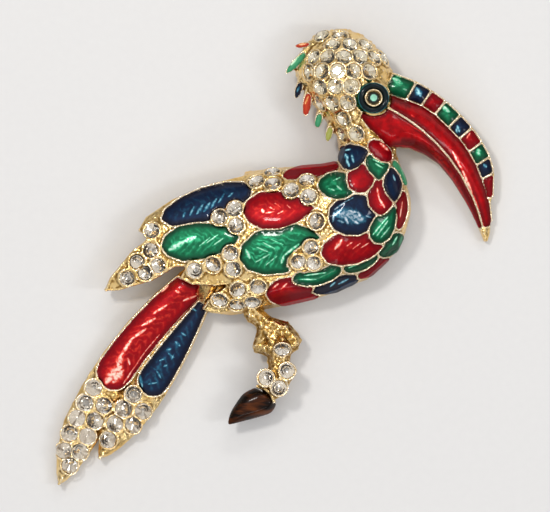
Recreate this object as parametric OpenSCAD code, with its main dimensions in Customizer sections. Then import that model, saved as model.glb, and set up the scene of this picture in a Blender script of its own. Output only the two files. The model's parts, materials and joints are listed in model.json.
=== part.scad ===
// Figural bird brooch: a hollow-backed casting with enamel inlays, set stones and a pin.
// The brooch lies on its back. X runs from the tail to the beak, Y from the foot to the
// crown of the head, and Z from the table up to the viewer.

/* [Body and wing] */
// Length of body and wing, wing tip to breast
body_l = 51; // [46:0.5:56]
// Width of body and wing, belly to back
body_w = 25.5; // [23:0.5:28]
// Rise of the body's dome over its edge
body_rise = 9; // [8:0.25:10]
// Thickness of the plain edge under each dome
edge_t = 1; // [0.8:0.1:1.4]
// Height of the open back over the surface that the brooch lies on
back_z = 2.2; // [2:0.1:2.8]
// Metal between a dome and the hollow behind it
wall = 2; // [1.9:0.1:2.6]

/* [Head and eye] */
// Width of the head
head_w = 17; // [16:0.5:19]
// Height of the head with its neck
head_h = 20.4; // [19:0.5:22]
// Rise of the head's dome over its edge
head_rise = 8.5; // [7.5:0.25:9.5]
// Outer diameter of the enamel ring round the eye
eye_d = 5.2; // [4.8:0.1:5.6]
// Height of the enamel ring round the eye
eye_h = 1.3; // [1:0.1:1.6]
// Outer diameter of the eye's bezel
bezel_d = 3; // [2.7:0.1:3.3]
// Diameter of the eye's stone
eye_stone_d = 2; // [1.8:0.1:2.2]
// Length of the longest crest feather
crest_l = 5.6; // [5:0.2:6.4]

/* [Beak] */
// Radius of the curve that the mouth line follows
beak_r = 31; // [28:0.5:34]
// Angle that the mouth line turns through
beak_turn = 53; // [49:1:56]
// Width that the beak's sections are shares of
beak_w = 8.5; // [7.5:0.25:9.5]
// Rise of the beak's ridge at its root
beak_rise = 8; // [7:0.25:9]

/* [Tail] */
// Length of the longer tail feather
tail_l = 47.6; // [44:0.2:50]
// Width of the longer tail feather
tail_w = 7; // [6.4:0.1:7.6]
// Rise of a tail feather's crown over its edge
tail_rise = 1.1; // [0.9:0.1:1.4]

/* [Leg and claw] */
// Length that the leg's joints are shares of
leg_l = 17; // [15.5:0.5:18.5]
// Height of the leg's middle over the open back
leg_z = 1.6; // [1.5:0.1:2]

/* [Enamel] */
// Depth of the enamel
enamel_t = 0.8; // [0.6:0.05:0.9]
// Width of the metal between two enamels
wire = 0.6; // [0.5:0.05:0.8]
// Clearance round the enamel
enamel_gap = 0.05; // [0.04:0.01:0.08]

/* [Stones] */
// Diameter of a stone
stone_d = 2.35; // [2.1:0.05:2.5]
// Diameter of a stone of the tail
tail_stone_d = 2.55; // [2.4:0.05:2.7]
// Metal between neighbouring stones
bead_gap = 0.37; // [0.35:0.01:0.6]
// Clearance round a stone in its seat
stone_gap = 0.06; // [0.05:0.01:0.1]

/* [Pin] */
// Diameter of the pin's stem
pin_d = 0.9; // [0.8:0.05:1.1]
// Width of the pin's two blocks
pin_block = 2.4; // [2:0.1:3]
// Length of each of the pin's blocks
pin_foot = 2; // [1.8:0.1:2.2]

/* [Hidden] */

arc_step = 20; // degrees between two lines along a dome
pitch = stone_d + bead_gap;
tail_pitch = tail_stone_d + bead_gap;
seat_r = stone_d / 2 + stone_gap;
stone_cut = [0.29, 0.15, 0.41]; // shares of the diameter: table radius, crown height, pavilion depth

// Sections across the body, in % of body_l, body_w and body_rise
// [place along, upper edge, lower edge, rise]
BODY = [
  [-4, 34, 10, 20], [8, 62, 9, 30], [20, 78, 6, 42], [32, 89, -2, 58], [45, 96, 1, 76],
  [58, 99, 6, 90], [72, 101, 12.5, 98], [77, 103, 16, 100], [80, 122, 19, 100],
  [87, 131, 24, 97], [93, 127, 35, 86], [97, 108, 43, 68], [100, 90, 56, 42], [101.5, 79, 67, 16]];

// Sections across the head, in % of head_h, head_w and head_rise
// [place up, left edge, right edge, rise]
HEAD = [
  [102, 41, 50, 10], [98, 20, 65, 36], [90, 11, 77, 60], [79, 5, 89, 82], [67, -1, 97, 96],
  [57, 2, 101, 100], [48, 11, 102, 100], [37, 19, 99, 94], [25, 30, 95, 80], [12, 41, 95, 72],
  [0, 43, 97, 66]];

// Enamelled feathers of the body, the upper ones first, in % of body_l and body_w
// [name, colour, root along, root up, tip along, tip up, width, widest at, root, tip fullness]
CELLS = [
  ["neck_blue", "navy", 86.7, 109, 77.6, 103.3, 16, 70, 0.7, 0.35],
  ["throat_red", "firebrick", 87.7, 115, 94.6, 103.6, 10, 50, 0.4, 0.5],
  ["neck_green", "green", 90, 111, 90.5, 90.7, 15, 45, 0.4, 0.9],
  ["breast_red", "firebrick", 86.3, 105.3, 83.3, 82.3, 17, 50, 0.6, 0.35],
  ["breast_blue", "navy", 94.7, 98, 95.7, 76, 11.3, 50, 0.8, 0.9],
  ["breast_edge_green", "green", 95.3, 103.3, 100, 87, 4, 50, 0.5, 0.6],
  ["chest_red", "firebrick", 91.3, 91.3, 91, 67.5, 16, 60, 0.4, 0.7],
  ["chest_green", "green", 95.7, 73.3, 89.3, 49.3, 14.3, 65, 0.9, 0.45],
  ["edge_red", "firebrick", 98.7, 82.7, 97.2, 58, 8, 50, 0.6, 0.6],
  ["shoulder_green", "green", 82.3, 86, 70.7, 87, 17, 50, 0.35, 0.6],
  ["shoulder_blue", "navy", 91.3, 70, 74.2, 64.3, 26, 50, 0.6, 0.4],
  ["covert_red", "firebrick", 92.3, 51.3, 71.8, 40.7, 21.5, 50, 0.5, 0.4],
  ["wing_red", "firebrick", 68.7, 71.7, 45.8, 69.3, 24.5, 62, 0.7, 0.5],
  ["belly_edge_green", "green", 98.7, 53.3, 91, 40.7, 11, 50, 0.4, 0.5],
  ["belly_green", "green", 90.3, 41.3, 79.3, 30.7, 10, 50, 0.5, 0.5],
  ["belly_red", "firebrick", 94.3, 38.7, 84, 25.7, 8, 50, 0.6, 0.6],
  ["wing_leaf_green", "green", 71, 51, 44.7, 38, 31, 52, 0.5, 0.45],
  ["under_green", "green", 78, 31.3, 62.3, 23.7, 12.5, 50, 0.5, 0.6],
  ["under_blue", "navy", 84.3, 25.3, 69, 16.3, 9.5, 50, 0.6, 0.6],
  ["under_red", "firebrick", 72, 17.3, 53.5, 15, 18.5, 60, 0.5, 0.5],
  ["back_red", "firebrick", 77.7, 100.7, 59, 93, 9, 50, 0.35, 0.4],
  ["wing_green", "green", 44, 53, 18.7, 46.3, 23.5, 62, 0.5, 0.5],
  ["wing_blue", "navy", 48.5, 84.7, 18.7, 64.3, 21, 50, 0.45, 0.45]];

// The stone-set tip of the red covert feather, which lies over the feathers below it
COVERT_TIP = ["covert_tip", "gold", 78.3, 46, 60, 33.3, 20, 50, 0.5, 0.6];
COVERT_RANK = 12; // the feathers from this row of CELLS on lie under that tip

// Outlines of the wing feathers that stand clear of the body, with columns as above
TIPS = [
  ["back_tip", "gold", 64, 88.5, 10.6, 56.5, 32.5, 50, 0.3, 0.5],
  ["long_tip", "gold", 51, 84.7, -0.7, 16.7, 27, 62, 0.4, 0.72],
  ["middle_tip", "gold", 68, 51, 24.5, 25, 30, 45, 0.6, 0.55],
  ["low_tip", "gold", 65, 23, 32, 4.7, 24, 50, 0.6, 0.7],
  ["long_root", "gold", 51, 66, 20, 36, 27, 50, 0.4, 0.5]];

// Clusters of stones on the wing: [along, up, size, [[along, up] in stone pitches, ...]]
PAVE = [
  [15.3, 56.7, 1, [[0, 0]]],
  [13, 35.3, 1, [[0.38, 0.81], [-0.5, 0.06], [0.81, -0.19], [0, -0.63], [-1.13, -0.94]]],
  [41.3, 65.3, 1, [[0.31, 0.53], [-0.63, 0], [0.41, -0.5]]],
  [53.3, 90, 1, [[-0.63, -0.1], [0.41, -0.22], [0.38, 0.5]]],
  [65.3, 84, 1, [[-0.69, -0.1], [0.28, 0.54], [0.4, -0.46]]],
  [69.8, 62.7, 1.05, [[0, 0]]],
  [37.3, 34, 1, [[-1.44, -0.31], [-0.31, 0], [0.81, 0.69], [0.94, -0.25]]],
  [67, 38.7, 0.92, [[-0.56, -0.25], [0.19, 0.66], [0.36, -0.33]]],
  [44.3, 12.5, 1, [[-1.21, -0.17], [-0.03, 0.47], [1.19, 0.66], [-0.13, -0.47], [0.81, -0.31]]]];

// Feathers of the tail, in % of body_l, body_w, tail_l and tail_w
// [root along, root up, length, angle, width, bow, widest at, root, tip fullness,
//  enamel from, enamel to]
TAIL = [
  [38.5, 37.4, 100, 234, 100, -7.7, 76, 0.12, 0.7, 7, 61.2],
  [39, 30, 81, 236.4, 90, 1.2, 68, 0.95, 0.6, 17.5, 64],
  [41.7, 26.7, 21, 226, 35, 0, 50, 0.5, 0.6, 0, 0]];

// Sections along the beak, in % of its turn and of beak_w, measured from the mouth line
// [place, lower edge, crease, lift of the lower edge]
BEAK = [
  [-17, 33, 20, 80], [-8.5, 52, 26, 75], [1.5, 61, 30, 70], [11, 68, 38, 60], [16, 57, 41, 40],
  [23, 42, 42, 20], [33, 31, 41, 10], [44, 22, 42, 5], [57, 19, 38, 0], [72, 15.5, 31, 0],
  [80, 12.5, 26, 0], [88, 9, 20, 0], [96, 5.5, 11, 0], [100, 3, 4, 0]];
// Outer edge of the casque: [place, distance from the mouth line]
CASQUE = [
  [-12, 68], [-6, 72], [4, 76], [14, 78], [24, 78], [34, 77.5], [44, 76], [57, 71], [66, 60],
  [73, 46], [79, 31]];
// Enamel stripes of the casque: [name, colour, from, to]
STRIPES = [
  ["casque_green_1", "green", -6.5, 4.2], ["casque_blue_1", "navy", 6, 12.7],
  ["casque_red_1", "firebrick", 14.6, 21.3], ["casque_green_2", "green", 23.2, 31.3],
  ["casque_blue_2", "navy", 33.2, 39.7], ["casque_red_2", "firebrick", 41.6, 48.4],
  ["casque_green_3", "green", 50.2, 56.6], ["casque_blue_3", "navy", 58.4, 64.6],
  ["casque_red_3", "firebrick", 66.4, 76]];

// Crest feathers, in % of head_w, head_h and crest_l
// [name, colour, root along, root up, length, angle, width, rise of the root]
CREST = [
  ["crest_orange", "orangered", 17, 89, 52, 188, 18, 2.6],
  ["crest_green", "mediumseagreen", 13, 84.5, 100, 226, 26, 2.6],
  ["crest_blue", "navy", 6, 60, 60, 252, 24, 2.4],
  ["crest_red", "orangered", 13, 51.5, 82, 262, 29, 2.6],
  ["crest_leaf", "green", 24.5, 33.5, 50, 258, 25, 2.4],
  ["crest_pale", "palegoldenrod", 35.5, 22.5, 52, 256, 24, 2.4]];

// Joints of the leg, in % of leg_l from the leg's root: [along, up, radius]
LEG = [[1, 1, 9], [16, -11, 9], [32, -17, 10], [41, -27, 10], [28, -36, 12], [28, -51, 11],
  [29, -64, 13], [21, -75, 11.5], [6, -33, 5]];
// Bones of the leg, as pairs of rows of LEG
BONES = [[0, 1], [1, 2], [2, 3], [3, 4], [1, 4], [1, 8], [8, 4], [4, 5], [5, 6], [6, 7]];
// Stones of the leg, in % of leg_l: [along, up, tilt]
LEG_STONES = [[31, -35.5, 35], [36, -57, 0], [14.5, -64, 0], [28, -73.5, 0]];
// Claw, in % of leg_l: [along, up, radius]
CLAW = [[12, -87, 15], [-1, -92, 14], [-11, -99, 9.5], [-21, -109, 2.2]];

// Places of the pieces
head_o = body_xy([96.6, 110]) - [head_w, 0];
eye_o = head_xy([76.6, 42.7]);
mouth_o = head_xy([94, 33.3]);
leg_o = body_xy([48.3, 1.3]);
mouth_from = 63;
beak_o = mouth_o - beak_r * [cos(mouth_from), sin(mouth_from)];
pin_from = body_xy([45.5, 88.7]);
pin_to = body_xy([99, 88.7]);
dome_z = back_z + edge_t;

// Edges of the brooch's box: the longer tail feather, the casque and the crown
feather_steps = [0.005, 0.1, 0.24, 0.38, 0.52, 0.66, 0.8, 0.91, 0.97, 0.999];
tail_edge = [for (t = feather_steps) for (q = [-1, 1]) feather_xy(TAIL[0], t, q * feather_half(TAIL[0], t))];
casque_x = max([for (c = CASQUE) beak_at(c[0], c[1] * beak_w / 100)[0]]);
head_top = head_xy([45, HEAD[0][0]])[1];
middle = [(min([for (p = tail_edge) p[0]]) + casque_x) / 2, (min([for (p = tail_edge) p[1]]) + head_top) / 2];

function body_xy(p) = [p[0] * body_l, p[1] * body_w] / 100;
function head_xy(p) = head_o + [p[0] * head_w, p[1] * head_h] / 100;
function leg_xy(p) = leg_o + [p[0], p[1]] * leg_l / 100;
function clamp(v, low, high) = min(max(v, low), high);
function column(rows, k, size) = [for (r = rows) [r[0], r[k] * size / 100]];

// A point of an arched section: d is how deep it lies under the surface
function arch(mid, half, rise, a, d) = [mid + (half - d) * cos(a), dome_z + (rise - d) * sin(a)];

function body_pt(i, j, d) =
  let (s = BODY[i], mid = (s[1] + s[2]) / 2 * body_w / 100, half = (s[1] - s[2]) / 2 * body_w / 100,
    p = arch(mid, half, s[3] * body_rise / 100, j * arc_step, d))
  [s[0] * body_l / 100, p[0], p[1]];

function head_pt(i, j, d) =
  let (s = HEAD[i], mid = (s[1] + s[2]) / 2 * head_w / 100, half = (s[2] - s[1]) / 2 * head_w / 100,
    p = arch(mid, half, s[3] * head_rise / 100, j * arc_step, d))
  [head_o[0] + p[0], head_o[1] + s[0] * head_h / 100, p[1]];

// Height of a dome over one point of its section, and the direction that it faces there
function dome(n, rise) = dome_z + rise * sqrt(max(0.02, 1 - n * n));
function body_z(x, y) =
  let (t = x / body_l * 100, high = lookup(t, column(BODY, 1, body_w)),
    low = lookup(t, column(BODY, 2, body_w)), rise = lookup(t, column(BODY, 3, body_rise)))
  dome((2 * y - high - low) / (high - low), rise);
function head_z(x, y) =
  let (t = (y - head_o[1]) / head_h * 100, left = lookup(t, column(HEAD, 1, head_w)),
    right = lookup(t, column(HEAD, 2, head_w)), rise = lookup(t, column(HEAD, 3, head_rise)))
  dome((2 * (x - head_o[0]) - left - right) / (right - left), rise);
function facing(dx, dy) = let (n = [-dx, -dy, 1]) n / norm(n);
function body_facing(x, y, e = 0.4) = facing((body_z(x + e, y) - body_z(x - e, y)) / 2 / e,
  (body_z(x, y + e) - body_z(x, y - e)) / 2 / e);
function head_facing(x, y, e = 0.4) = facing((head_z(x + e, y) - head_z(x - e, y)) / 2 / e,
  (head_z(x, y + e) - head_z(x, y - e)) / 2 / e);

// Half-width of a feather as a share of its greatest: s is the place along it, b where it is widest
function fullness(s, b, root, tip) =
  s < b ? pow(sin(90 * s / b), root) : pow(max(0, cos(90 * (s - b) / (1 - b))), tip);

// Outline of a flat feather, grown by g
leaf_steps = 6;
function leaf_pts(c, g) =
  let (a = body_xy([c[2], c[3]]), b = body_xy([c[4], c[5]]), l = norm(b - a), dir = (b - a) / l,
    side = [-dir[1], dir[0]], half = c[6] * body_w / 200 + g,
    rows = [for (k = [1:leaf_steps - 1]) let (s = (1 - cos(180 * k / leaf_steps)) / 2)
      [a + dir * (s * (l + 2 * g) - g), half * fullness(s, c[7] / 100, c[8], c[9])]])
  concat([a - dir * g], [for (r = rows) r[0] - side * r[1]], [b + dir * g],
    [for (k = [len(rows) - 1:-1:0]) rows[k][0] + side * rows[k][1]]);
function leaf_mid(c) = body_xy([c[2] + c[4], c[3] + c[5]]) / 2;
function leaf_reach(c) = norm(body_xy([c[2] - c[4], c[3] - c[5]])) / 2 + wire;

// Stones of the wing: [x, y, size]
wing_places = [for (p = PAVE) for (q = p[3]) concat(body_xy(p) + q * pitch, p[2])];

// Keeps the points that lie clear of all that are kept before them
function spread(points, gap, k = 0, kept = []) =
  k == len(points) ? kept
  : spread(points, gap, k + 1,
      min(concat(gap * 2, [for (q = kept) norm(q - points[k])])) < gap ? kept : concat(kept, [points[k]]));

// Stones of the head stand in rows across it, and each row follows its arch
head_row = stone_d + 0.27;
head_curve = (HEAD[0][0] - 52) / 100 * head_h;
function row_y(k) = head_xy([0, 52])[1] + (k < 0 ? k * head_row
  : head_curve * sin(min(90, k * head_row / head_curve * 180 / PI)));
function beak_place(p) = (mouth_from - atan2(p[1] - beak_o[1], p[0] - beak_o[0])) * 100 / beak_turn;
function on_beak(p) =
  let (t = beak_place(p), r = norm([p[0], p[1]] - beak_o) - beak_r)
  r > -lookup(t, column(BEAK, 1, beak_w)) - seat_r - wire / 2
    && t > (r > 0 ? STRIPES[0][2] : BEAK[0][0]) - 100 * (seat_r + wire) / (beak_r * beak_turn * PI / 180);
function crest_xy(c) = head_xy([c[2], c[3]]) + c[4] * crest_l / 300 * [cos(c[5]), sin(c[5])];
function on_crest(p) =
  min([for (c = CREST) norm(p - crest_xy(c)) - c[6] * crest_l / 200]) < seat_r + enamel_gap;
head_places = spread([for (row = [-4:4]) for (k = [-5:5])
  let (y = row_y(row), t = (y - head_o[1]) / head_h * 100, left = lookup(t, column(HEAD, 1, head_w)),
    right = lookup(t, column(HEAD, 2, head_w)), half = (right - left) / 2,
    turn = (k + (row + 8) % 2 / 2) * pitch / min(half, lookup(t, column(HEAD, 3, head_rise))) * 180 / PI,
    x = head_o[0] + (left + right) / 2 + half * sin(clamp(turn, -90, 90)), p = [x, y, head_z(x, y)])
  if (abs(turn) < 66 && t > 9 && t < HEAD[0][0] - 4 && !on_beak(p) && !on_crest([x, y])
    && norm([x, y] - eye_o) > eye_d / 2 + seat_r + wire / 2) p], stone_d + 0.15);

// Feathers of the tail: t runs from root to tip, v is the distance from the middle line
function feather_dir(f) = [cos(f[3]), sin(f[3])];
function feather_side(f) = [-sin(f[3]), cos(f[3])];
function feather_xy(f, t, v) =
  let (l = f[2] * tail_l / 100)
  body_xy(f) + feather_dir(f) * t * l + feather_side(f) * (f[5] * l / 100 * 4 * t * (1 - t) + v);
function feather_half(f, t) = f[4] * tail_w / 200 * fullness(t, f[6] / 100, f[7], f[8]);
function feather_low(f, t) = back_z * (1 - t * f[2] / 100);
function feather_pt(f, t, v, d) =
  let (q = v / max(feather_half(f, t), 0.1), p = feather_xy(f, t, v))
  [p[0], p[1], feather_low(f, t) + edge_t * 1.2 + tail_rise * (1 - q * q) - d];
// Points of the beak: place along its turn in %, distance from the mouth line
function beak_at(t, r) =
  let (a = mouth_from - t * beak_turn / 100)
  beak_o + (beak_r + r) * [cos(a), sin(a)];
function beak_low(t) = back_z * (1 - clamp(t, 0, 100) / 100);
function beak_height(t) = beak_rise * (1 - 0.86 * clamp(t, 0, 100) / 100);
function beak_edge(t) = edge_t * (1 - 0.4 * clamp(t, 0, 100) / 100);
function beak_pt(t, r, z) = let (p = beak_at(t, r)) [p[0], p[1], beak_low(t) + beak_edge(t) + z];
// The lower half of the beak is a quarter ellipse, the upper half a flatter arc up to the crease
crease_a = 60;
function lower_pt(t, a, d) =
  let (w = lookup(t, column(BEAK, 1, beak_w)), lift = lookup(t, column(BEAK, 3, 1)), h = beak_height(t))
  beak_pt(t, -(w - d) * cos(a), h * (lift + (1 - lift) * sin(a)) - d * sin(a));
function upper_pt(t, a, d) =
  let (w = lookup(t, column(BEAK, 2, beak_w)), h = beak_height(t))
  beak_pt(t, w * sin(a) / sin(crease_a) - d * sin(a) * 0.5, h * cos(a) - d);
function casque_pt(t, s, d) =
  let (crease = lookup(t, column(BEAK, 2, beak_w)), w = lookup(t, CASQUE) * beak_w / 100 - crease,
    h = beak_height(t))
  beak_pt(t, crease + w * s, h * (cos(crease_a) + 0.16 * sin(150 * s) - 0.2 * s) - d);

// A solid between an upper and a lower grid of points
module slab(top, low) {
  n = len(top);
  m = len(top[0]);
  function at(i, j) = i * m + j;
  under = n * m;
  points = concat([for (row = top) for (p = row) p], [for (row = low) for (p = row) p]);
  function quad(a, b, c, d) = [[a, b, c], [a, c, d]];
  faces = concat(
    [for (i = [0:n - 2]) for (j = [0:m - 2])
      each quad(at(i, j), at(i + 1, j), at(i + 1, j + 1), at(i, j + 1))],
    [for (i = [0:n - 2]) for (j = [0:m - 2]) for (f = quad(at(i, j), at(i + 1, j), at(i + 1, j + 1),
      at(i, j + 1))) [f[2] + under, f[1] + under, f[0] + under]],
    [for (j = [0:m - 2]) each quad(at(0, j), at(0, j + 1), at(0, j + 1) + under, at(0, j) + under)],
    [for (j = [0:m - 2])
      each quad(at(n - 1, j + 1), at(n - 1, j), at(n - 1, j) + under, at(n - 1, j + 1) + under)],
    [for (i = [0:n - 2]) each quad(at(i + 1, 0), at(i, 0), at(i, 0) + under, at(i + 1, 0) + under)],
    [for (i = [0:n - 2])
      each quad(at(i, m - 1), at(i + 1, m - 1), at(i + 1, m - 1) + under, at(i, m - 1) + under)]);
  polyhedron(points, faces);
}

function flat(grid, z) = [for (row = grid) [for (p = row) [p[0], p[1], z]]];
arc_count = 180 / arc_step;

module body_dome(d, low, skip = 1) {
  top = [for (i = [0:len(BODY) - 1]) [for (j = [0:skip:arc_count]) body_pt(i, j, d)]];
  slab(top, flat(top, low));
}

module head_dome(d, low, skip = 1) {
  top = [for (i = [0:len(HEAD) - 1]) [for (j = [0:skip:arc_count]) head_pt(i, j, d)]];
  slab(top, flat(top, low));
}

// The stretch of the body's surface over one feather, from depth d0 to depth d1
module body_layer(c, d0, d1) {
  pts = leaf_pts(c, wire);
  along = [for (p = pts) p[0] * 100 / body_l];
  turn = [for (p = pts) let (t = p[0] * 100 / body_l, high = lookup(t, column(BODY, 1, body_w)),
    low = lookup(t, column(BODY, 2, body_w))) acos(clamp((2 * p[1] - high - low) / (high - low), -1, 1))];
  last = len(BODY) - 1;
  i0 = max(concat([0], [for (i = [0:last]) if (BODY[i][0] < min(along)) i]));
  i1 = min(concat([last], [for (i = [0:last]) if (BODY[i][0] > max(along)) i]));
  j0 = max(0, floor(min(turn) / arc_step) - 1);
  j1 = min(arc_count, ceil(max(turn) / arc_step) + 1);
  slab([for (i = [i0:i1]) [for (j = [j0:j1]) body_pt(i, j, d0)]],
    [for (i = [i0:i1]) [for (j = [j0:j1]) body_pt(i, j, d1)]]);
}

// Outline of one enamel: its feather less those that lie over it and the seats beside it
module cell_outline(k, g) {
  c = CELLS[k];
  difference() {
    polygon(leaf_pts(c, g));
    for (i = [0:1:k - 1])
      if (norm(leaf_mid(CELLS[i]) - leaf_mid(c)) < leaf_reach(CELLS[i]) + leaf_reach(c))
        polygon(leaf_pts(CELLS[i], wire - g));
    if (k >= COVERT_RANK && norm(leaf_mid(COVERT_TIP) - leaf_mid(c)) < leaf_reach(COVERT_TIP) + leaf_reach(c))
      polygon(leaf_pts(COVERT_TIP, wire / 2 - g));
    for (p = wing_places)
      if (norm([p[0], p[1]] - leaf_mid(c)) < leaf_reach(c) + p[2] * seat_r)
        translate([p[0], p[1]]) circle(p[2] * seat_r + wire / 3 - g, $fn = 8);
  }
}

module cell(k, g = 0) {
  intersection() {
    linear_extrude(dome_z + body_rise + 2) cell_outline(k, g);
    body_layer(CELLS[k], g > 0 ? -2.5 : 0, enamel_t + g);
  }
}

module body_enamel(k) {
  color(CELLS[k][1]) cell(k);
}

// A cut stone with a table, eight crown facets and eight pavilion facets, on its girdle
module cut_stone(d) {
  table = [for (k = [0:7]) [stone_cut[0] * d * cos(45 * k), stone_cut[0] * d * sin(45 * k), stone_cut[1] * d]];
  girdle = [for (k = [0:7]) [d / 2 * cos(45 * k), d / 2 * sin(45 * k), 0]];
  polyhedron(concat(table, girdle, [[0, 0, -stone_cut[2] * d]]), concat([[for (k = [7:-1:0]) k]],
    [for (k = [0:7]) [k, (k + 1) % 8, (k + 1) % 8 + 8, k + 8]], [for (k = [0:7]) [k + 8, (k + 1) % 8 + 8, 16]]));
}

// The hole that a stone sits in, a cone that goes on widening past the stone's girdle
module seat(d) {
  depth = stone_cut[2] * d + stone_gap * 2;
  rise = 0.25;
  translate([0, 0, -depth])
    cylinder(h = depth + rise, r1 = 0, r2 = (d / 2 + stone_gap) * (depth + rise) / depth, $fn = 8);
}

// Puts a piece on a surface, facing along n
module placed(p, n) {
  translate(p) rotate([0, acos(n[2]), atan2(n[1], n[0])]) children();
}

module on_wing() {
  for (p = wing_places)
    placed([p[0], p[1], body_z(p[0], p[1])], body_facing(p[0], p[1])) scale(p[2]) children();
}

module on_crown() {
  for (p = head_places) placed(p, head_facing(p[0], p[1])) children();
}

// Stones of a tail feather stand in two staggered rows, which close up where it narrows
function feather_stones(f) =
  let (l = f[2] * tail_l / 100, rim = tail_stone_d * 0.57, from = f[10] / 100 + rim / l)
  spread([for (k = [0:2 * ceil(l / tail_pitch)])
    let (t = from + k * tail_pitch / 2 / l, off = min(tail_pitch / 2, feather_half(f, t) - rim))
    if (t < 1 && off > 0) feather_pt(f, t, k % 2 == 0 ? -off : off, 0)], tail_stone_d + 0.12);

module on_tail() {
  for (f = [TAIL[0], TAIL[1]]) for (p = feather_stones(f)) placed(p, [0, 0, 1]) children();
}

module on_leg() {
  for (q = LEG_STONES) let (p = leg_xy(q))
    translate([p[0], p[1], back_z + leg_z + 0.13 * leg_l]) rotate([q[2], 0, 0]) children();
}

module feather(f) {
  qs = [1, 0.6, 0, -0.6, -1];
  top = [for (t = feather_steps) [for (q = qs) feather_pt(f, t, q * feather_half(f, t), 0)]];
  slab(top, [for (k = [0:len(top) - 1]) [for (p = top[k]) [p[0], p[1], feather_low(f, feather_steps[k])]]]);
}

// The enamel of a tail feather is square at the root and round towards the tip
module feather_inlay(f, d0, g = 0) {
  l = f[2] * tail_l / 100;
  from = f[9] / 100 - g / l;
  to = f[10] / 100 + g / l;
  round = (feather_half(f, to) - wire + g) / l;
  function half(t) = let (past = clamp((t - to + round) / round, 0, 1))
    (feather_half(f, t) - wire + g) * sqrt(1 - past * past * 0.98);
  ts = concat([for (k = [0:5]) from + (to - round - from) * k / 5],
    [for (a = [30:20:90]) to - round + round * sin(a)]);
  qs = [1, 0.5, 0, -0.5, -1];
  function grid(d) = [for (t = ts) [for (q = qs) feather_pt(f, t, q * half(t), d)]];
  slab(grid(d0), grid(enamel_t + g));
}

// A tail feather's enamel starts at the edge of the wing over it
module tail_inlay(f, d0, g = 0) {
  difference() {
    feather_inlay(f, d0, g);
    linear_extrude(dome_z + body_rise) for (k = [1:len(TIPS) - 1]) polygon(leaf_pts(TIPS[k], wire / 2 - g));
  }
}

// Patches of the beak between two places, from depth d0 down; the enamel thins out with the beak
module lower_patch(t0, t1, d0, g = 0) {
  ts = concat([t0 - g * 4], [for (s = BEAK) if (s[0] > t0 + 1 && s[0] < t1 - 1) s[0]], [t1 + g * 4]);
  function half(t) = lookup(t, column(BEAK, 1, beak_w));
  function mouth(t) = acos(clamp((wire / 2 - g) / half(t), 0, 0.9));
  function rim(t) = 12 - 2.5 * g / half(t) * 180 / PI;
  function deep(t) = min(enamel_t, half(t) / 2) + g;
  function row(t, d) = [for (k = [4:-1:0]) lower_pt(t, rim(t) + (mouth(t) - rim(t)) * k / 4, d)];
  slab([for (t = ts) row(t, d0)], [for (t = ts) row(t, deep(t))]);
}

module upper_patch(t0, t1, d0, g = 0) {
  ts = concat([t0 - g * 4], [for (s = BEAK) if (s[0] > t0 + 1 && s[0] < t1 - 1) s[0]], [t1 + g * 4]);
  function half(t) = lookup(t, column(BEAK, 2, beak_w));
  function mouth(t) = asin(clamp((wire / 2 - g) * sin(crease_a) / half(t), 0, 0.8));
  function last(t) = crease_a - 4.5 + g / half(t) * 180 / PI;
  function row(t, d) = [for (k = [3:-1:0]) upper_pt(t, mouth(t) + (last(t) - mouth(t)) * k / 3, d)];
  slab([for (t = ts) row(t, d0)], [for (t = ts) row(t, enamel_t + g)]);
}

module casque_patch(t0, t1, d0, g = 0) {
  function grid(d) = [for (t = [t0 - g * 3, t1 + g * 3]) [for (k = [3:-1:0]) casque_pt(t, 0.06 - g / 4 + (0.82 + g / 2) * k / 3, d)]];
  slab(grid(d0), grid(enamel_t + g));
}

lower_from = -15;
upper_from = -4;
mandible_to = 91;

module mandible() {
  ts = [for (s = BEAK) s[0]];
  top = [for (t = ts) concat([for (k = [3:-1:1]) upper_pt(t, crease_a * k / 3, 0)],
    [for (a = [90:-18:0]) lower_pt(t, a, 0)])];
  slab(top, [for (k = [0:len(ts) - 1]) [for (p = top[k]) [p[0], p[1], beak_low(ts[k])]]]);
}

module casque() {
  ts = [for (s = CASQUE) s[0]];
  top = [for (t = ts) [for (k = [4:-1:-1]) casque_pt(t, k / 4, 0)]];
  slab(top, [for (k = [0:len(ts) - 1]) [for (p = top[k]) [p[0], p[1], beak_low(ts[k])]]]);
}

// A crest feather or its enamel, drooping from the head's edge
module crest_plate(c, g, from, to, low, high) {
  l = c[4] * crest_l / 100;
  half = c[6] * crest_l / 200;
  steps = [for (k = [0:5]) from + (to - from) * (1 - cos(36 * k)) / 2];
  side = [for (s = steps) let (u = (s - from) / (to - from)) [s * l, (half + g) * pow(max(0, sin(180 * u)), 0.45)]];
  o = head_xy([c[2], c[3]]);
  translate([o[0], o[1], back_z + c[7]]) rotate([0, 0, c[5]]) rotate([0, 14, 0]) translate([0, 0, low])
    linear_extrude(high - low)
      polygon(concat([for (p = side) [p[0], -p[1]]], [for (k = [4:-1:1]) [side[k][0], side[k][1]]]));
}

crest_t = 1.5;
module crest_enamel(c, g = 0) {
  crest_plate(c, g - wire / 3, 0.12 - g / 4, 0.95 + g / 4, crest_t - enamel_t * 0.6 - g, crest_t + (g > 0 ? 2 : 0));
}

module bone(a, b, g = 0) {
  hull() for (q = [a, b]) let (p = leg_xy(q))
    translate([p[0], p[1], back_z + leg_z]) sphere(q[2] * leg_l / 100 + g, $fn = 6);
}

// The claw ends in a plane against the foot
module claw_shape(g = 0) {
  root = leg_xy(CLAW[0]);
  difference() {
    for (k = [0:len(CLAW) - 2]) bone(CLAW[k], CLAW[k + 1], g);
    translate([root[0], root[1], 0]) rotate([0, 0, 52]) translate([0.045 * leg_l + g, -leg_l, -leg_l])
      cube(leg_l * 2);
  }
}

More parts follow.
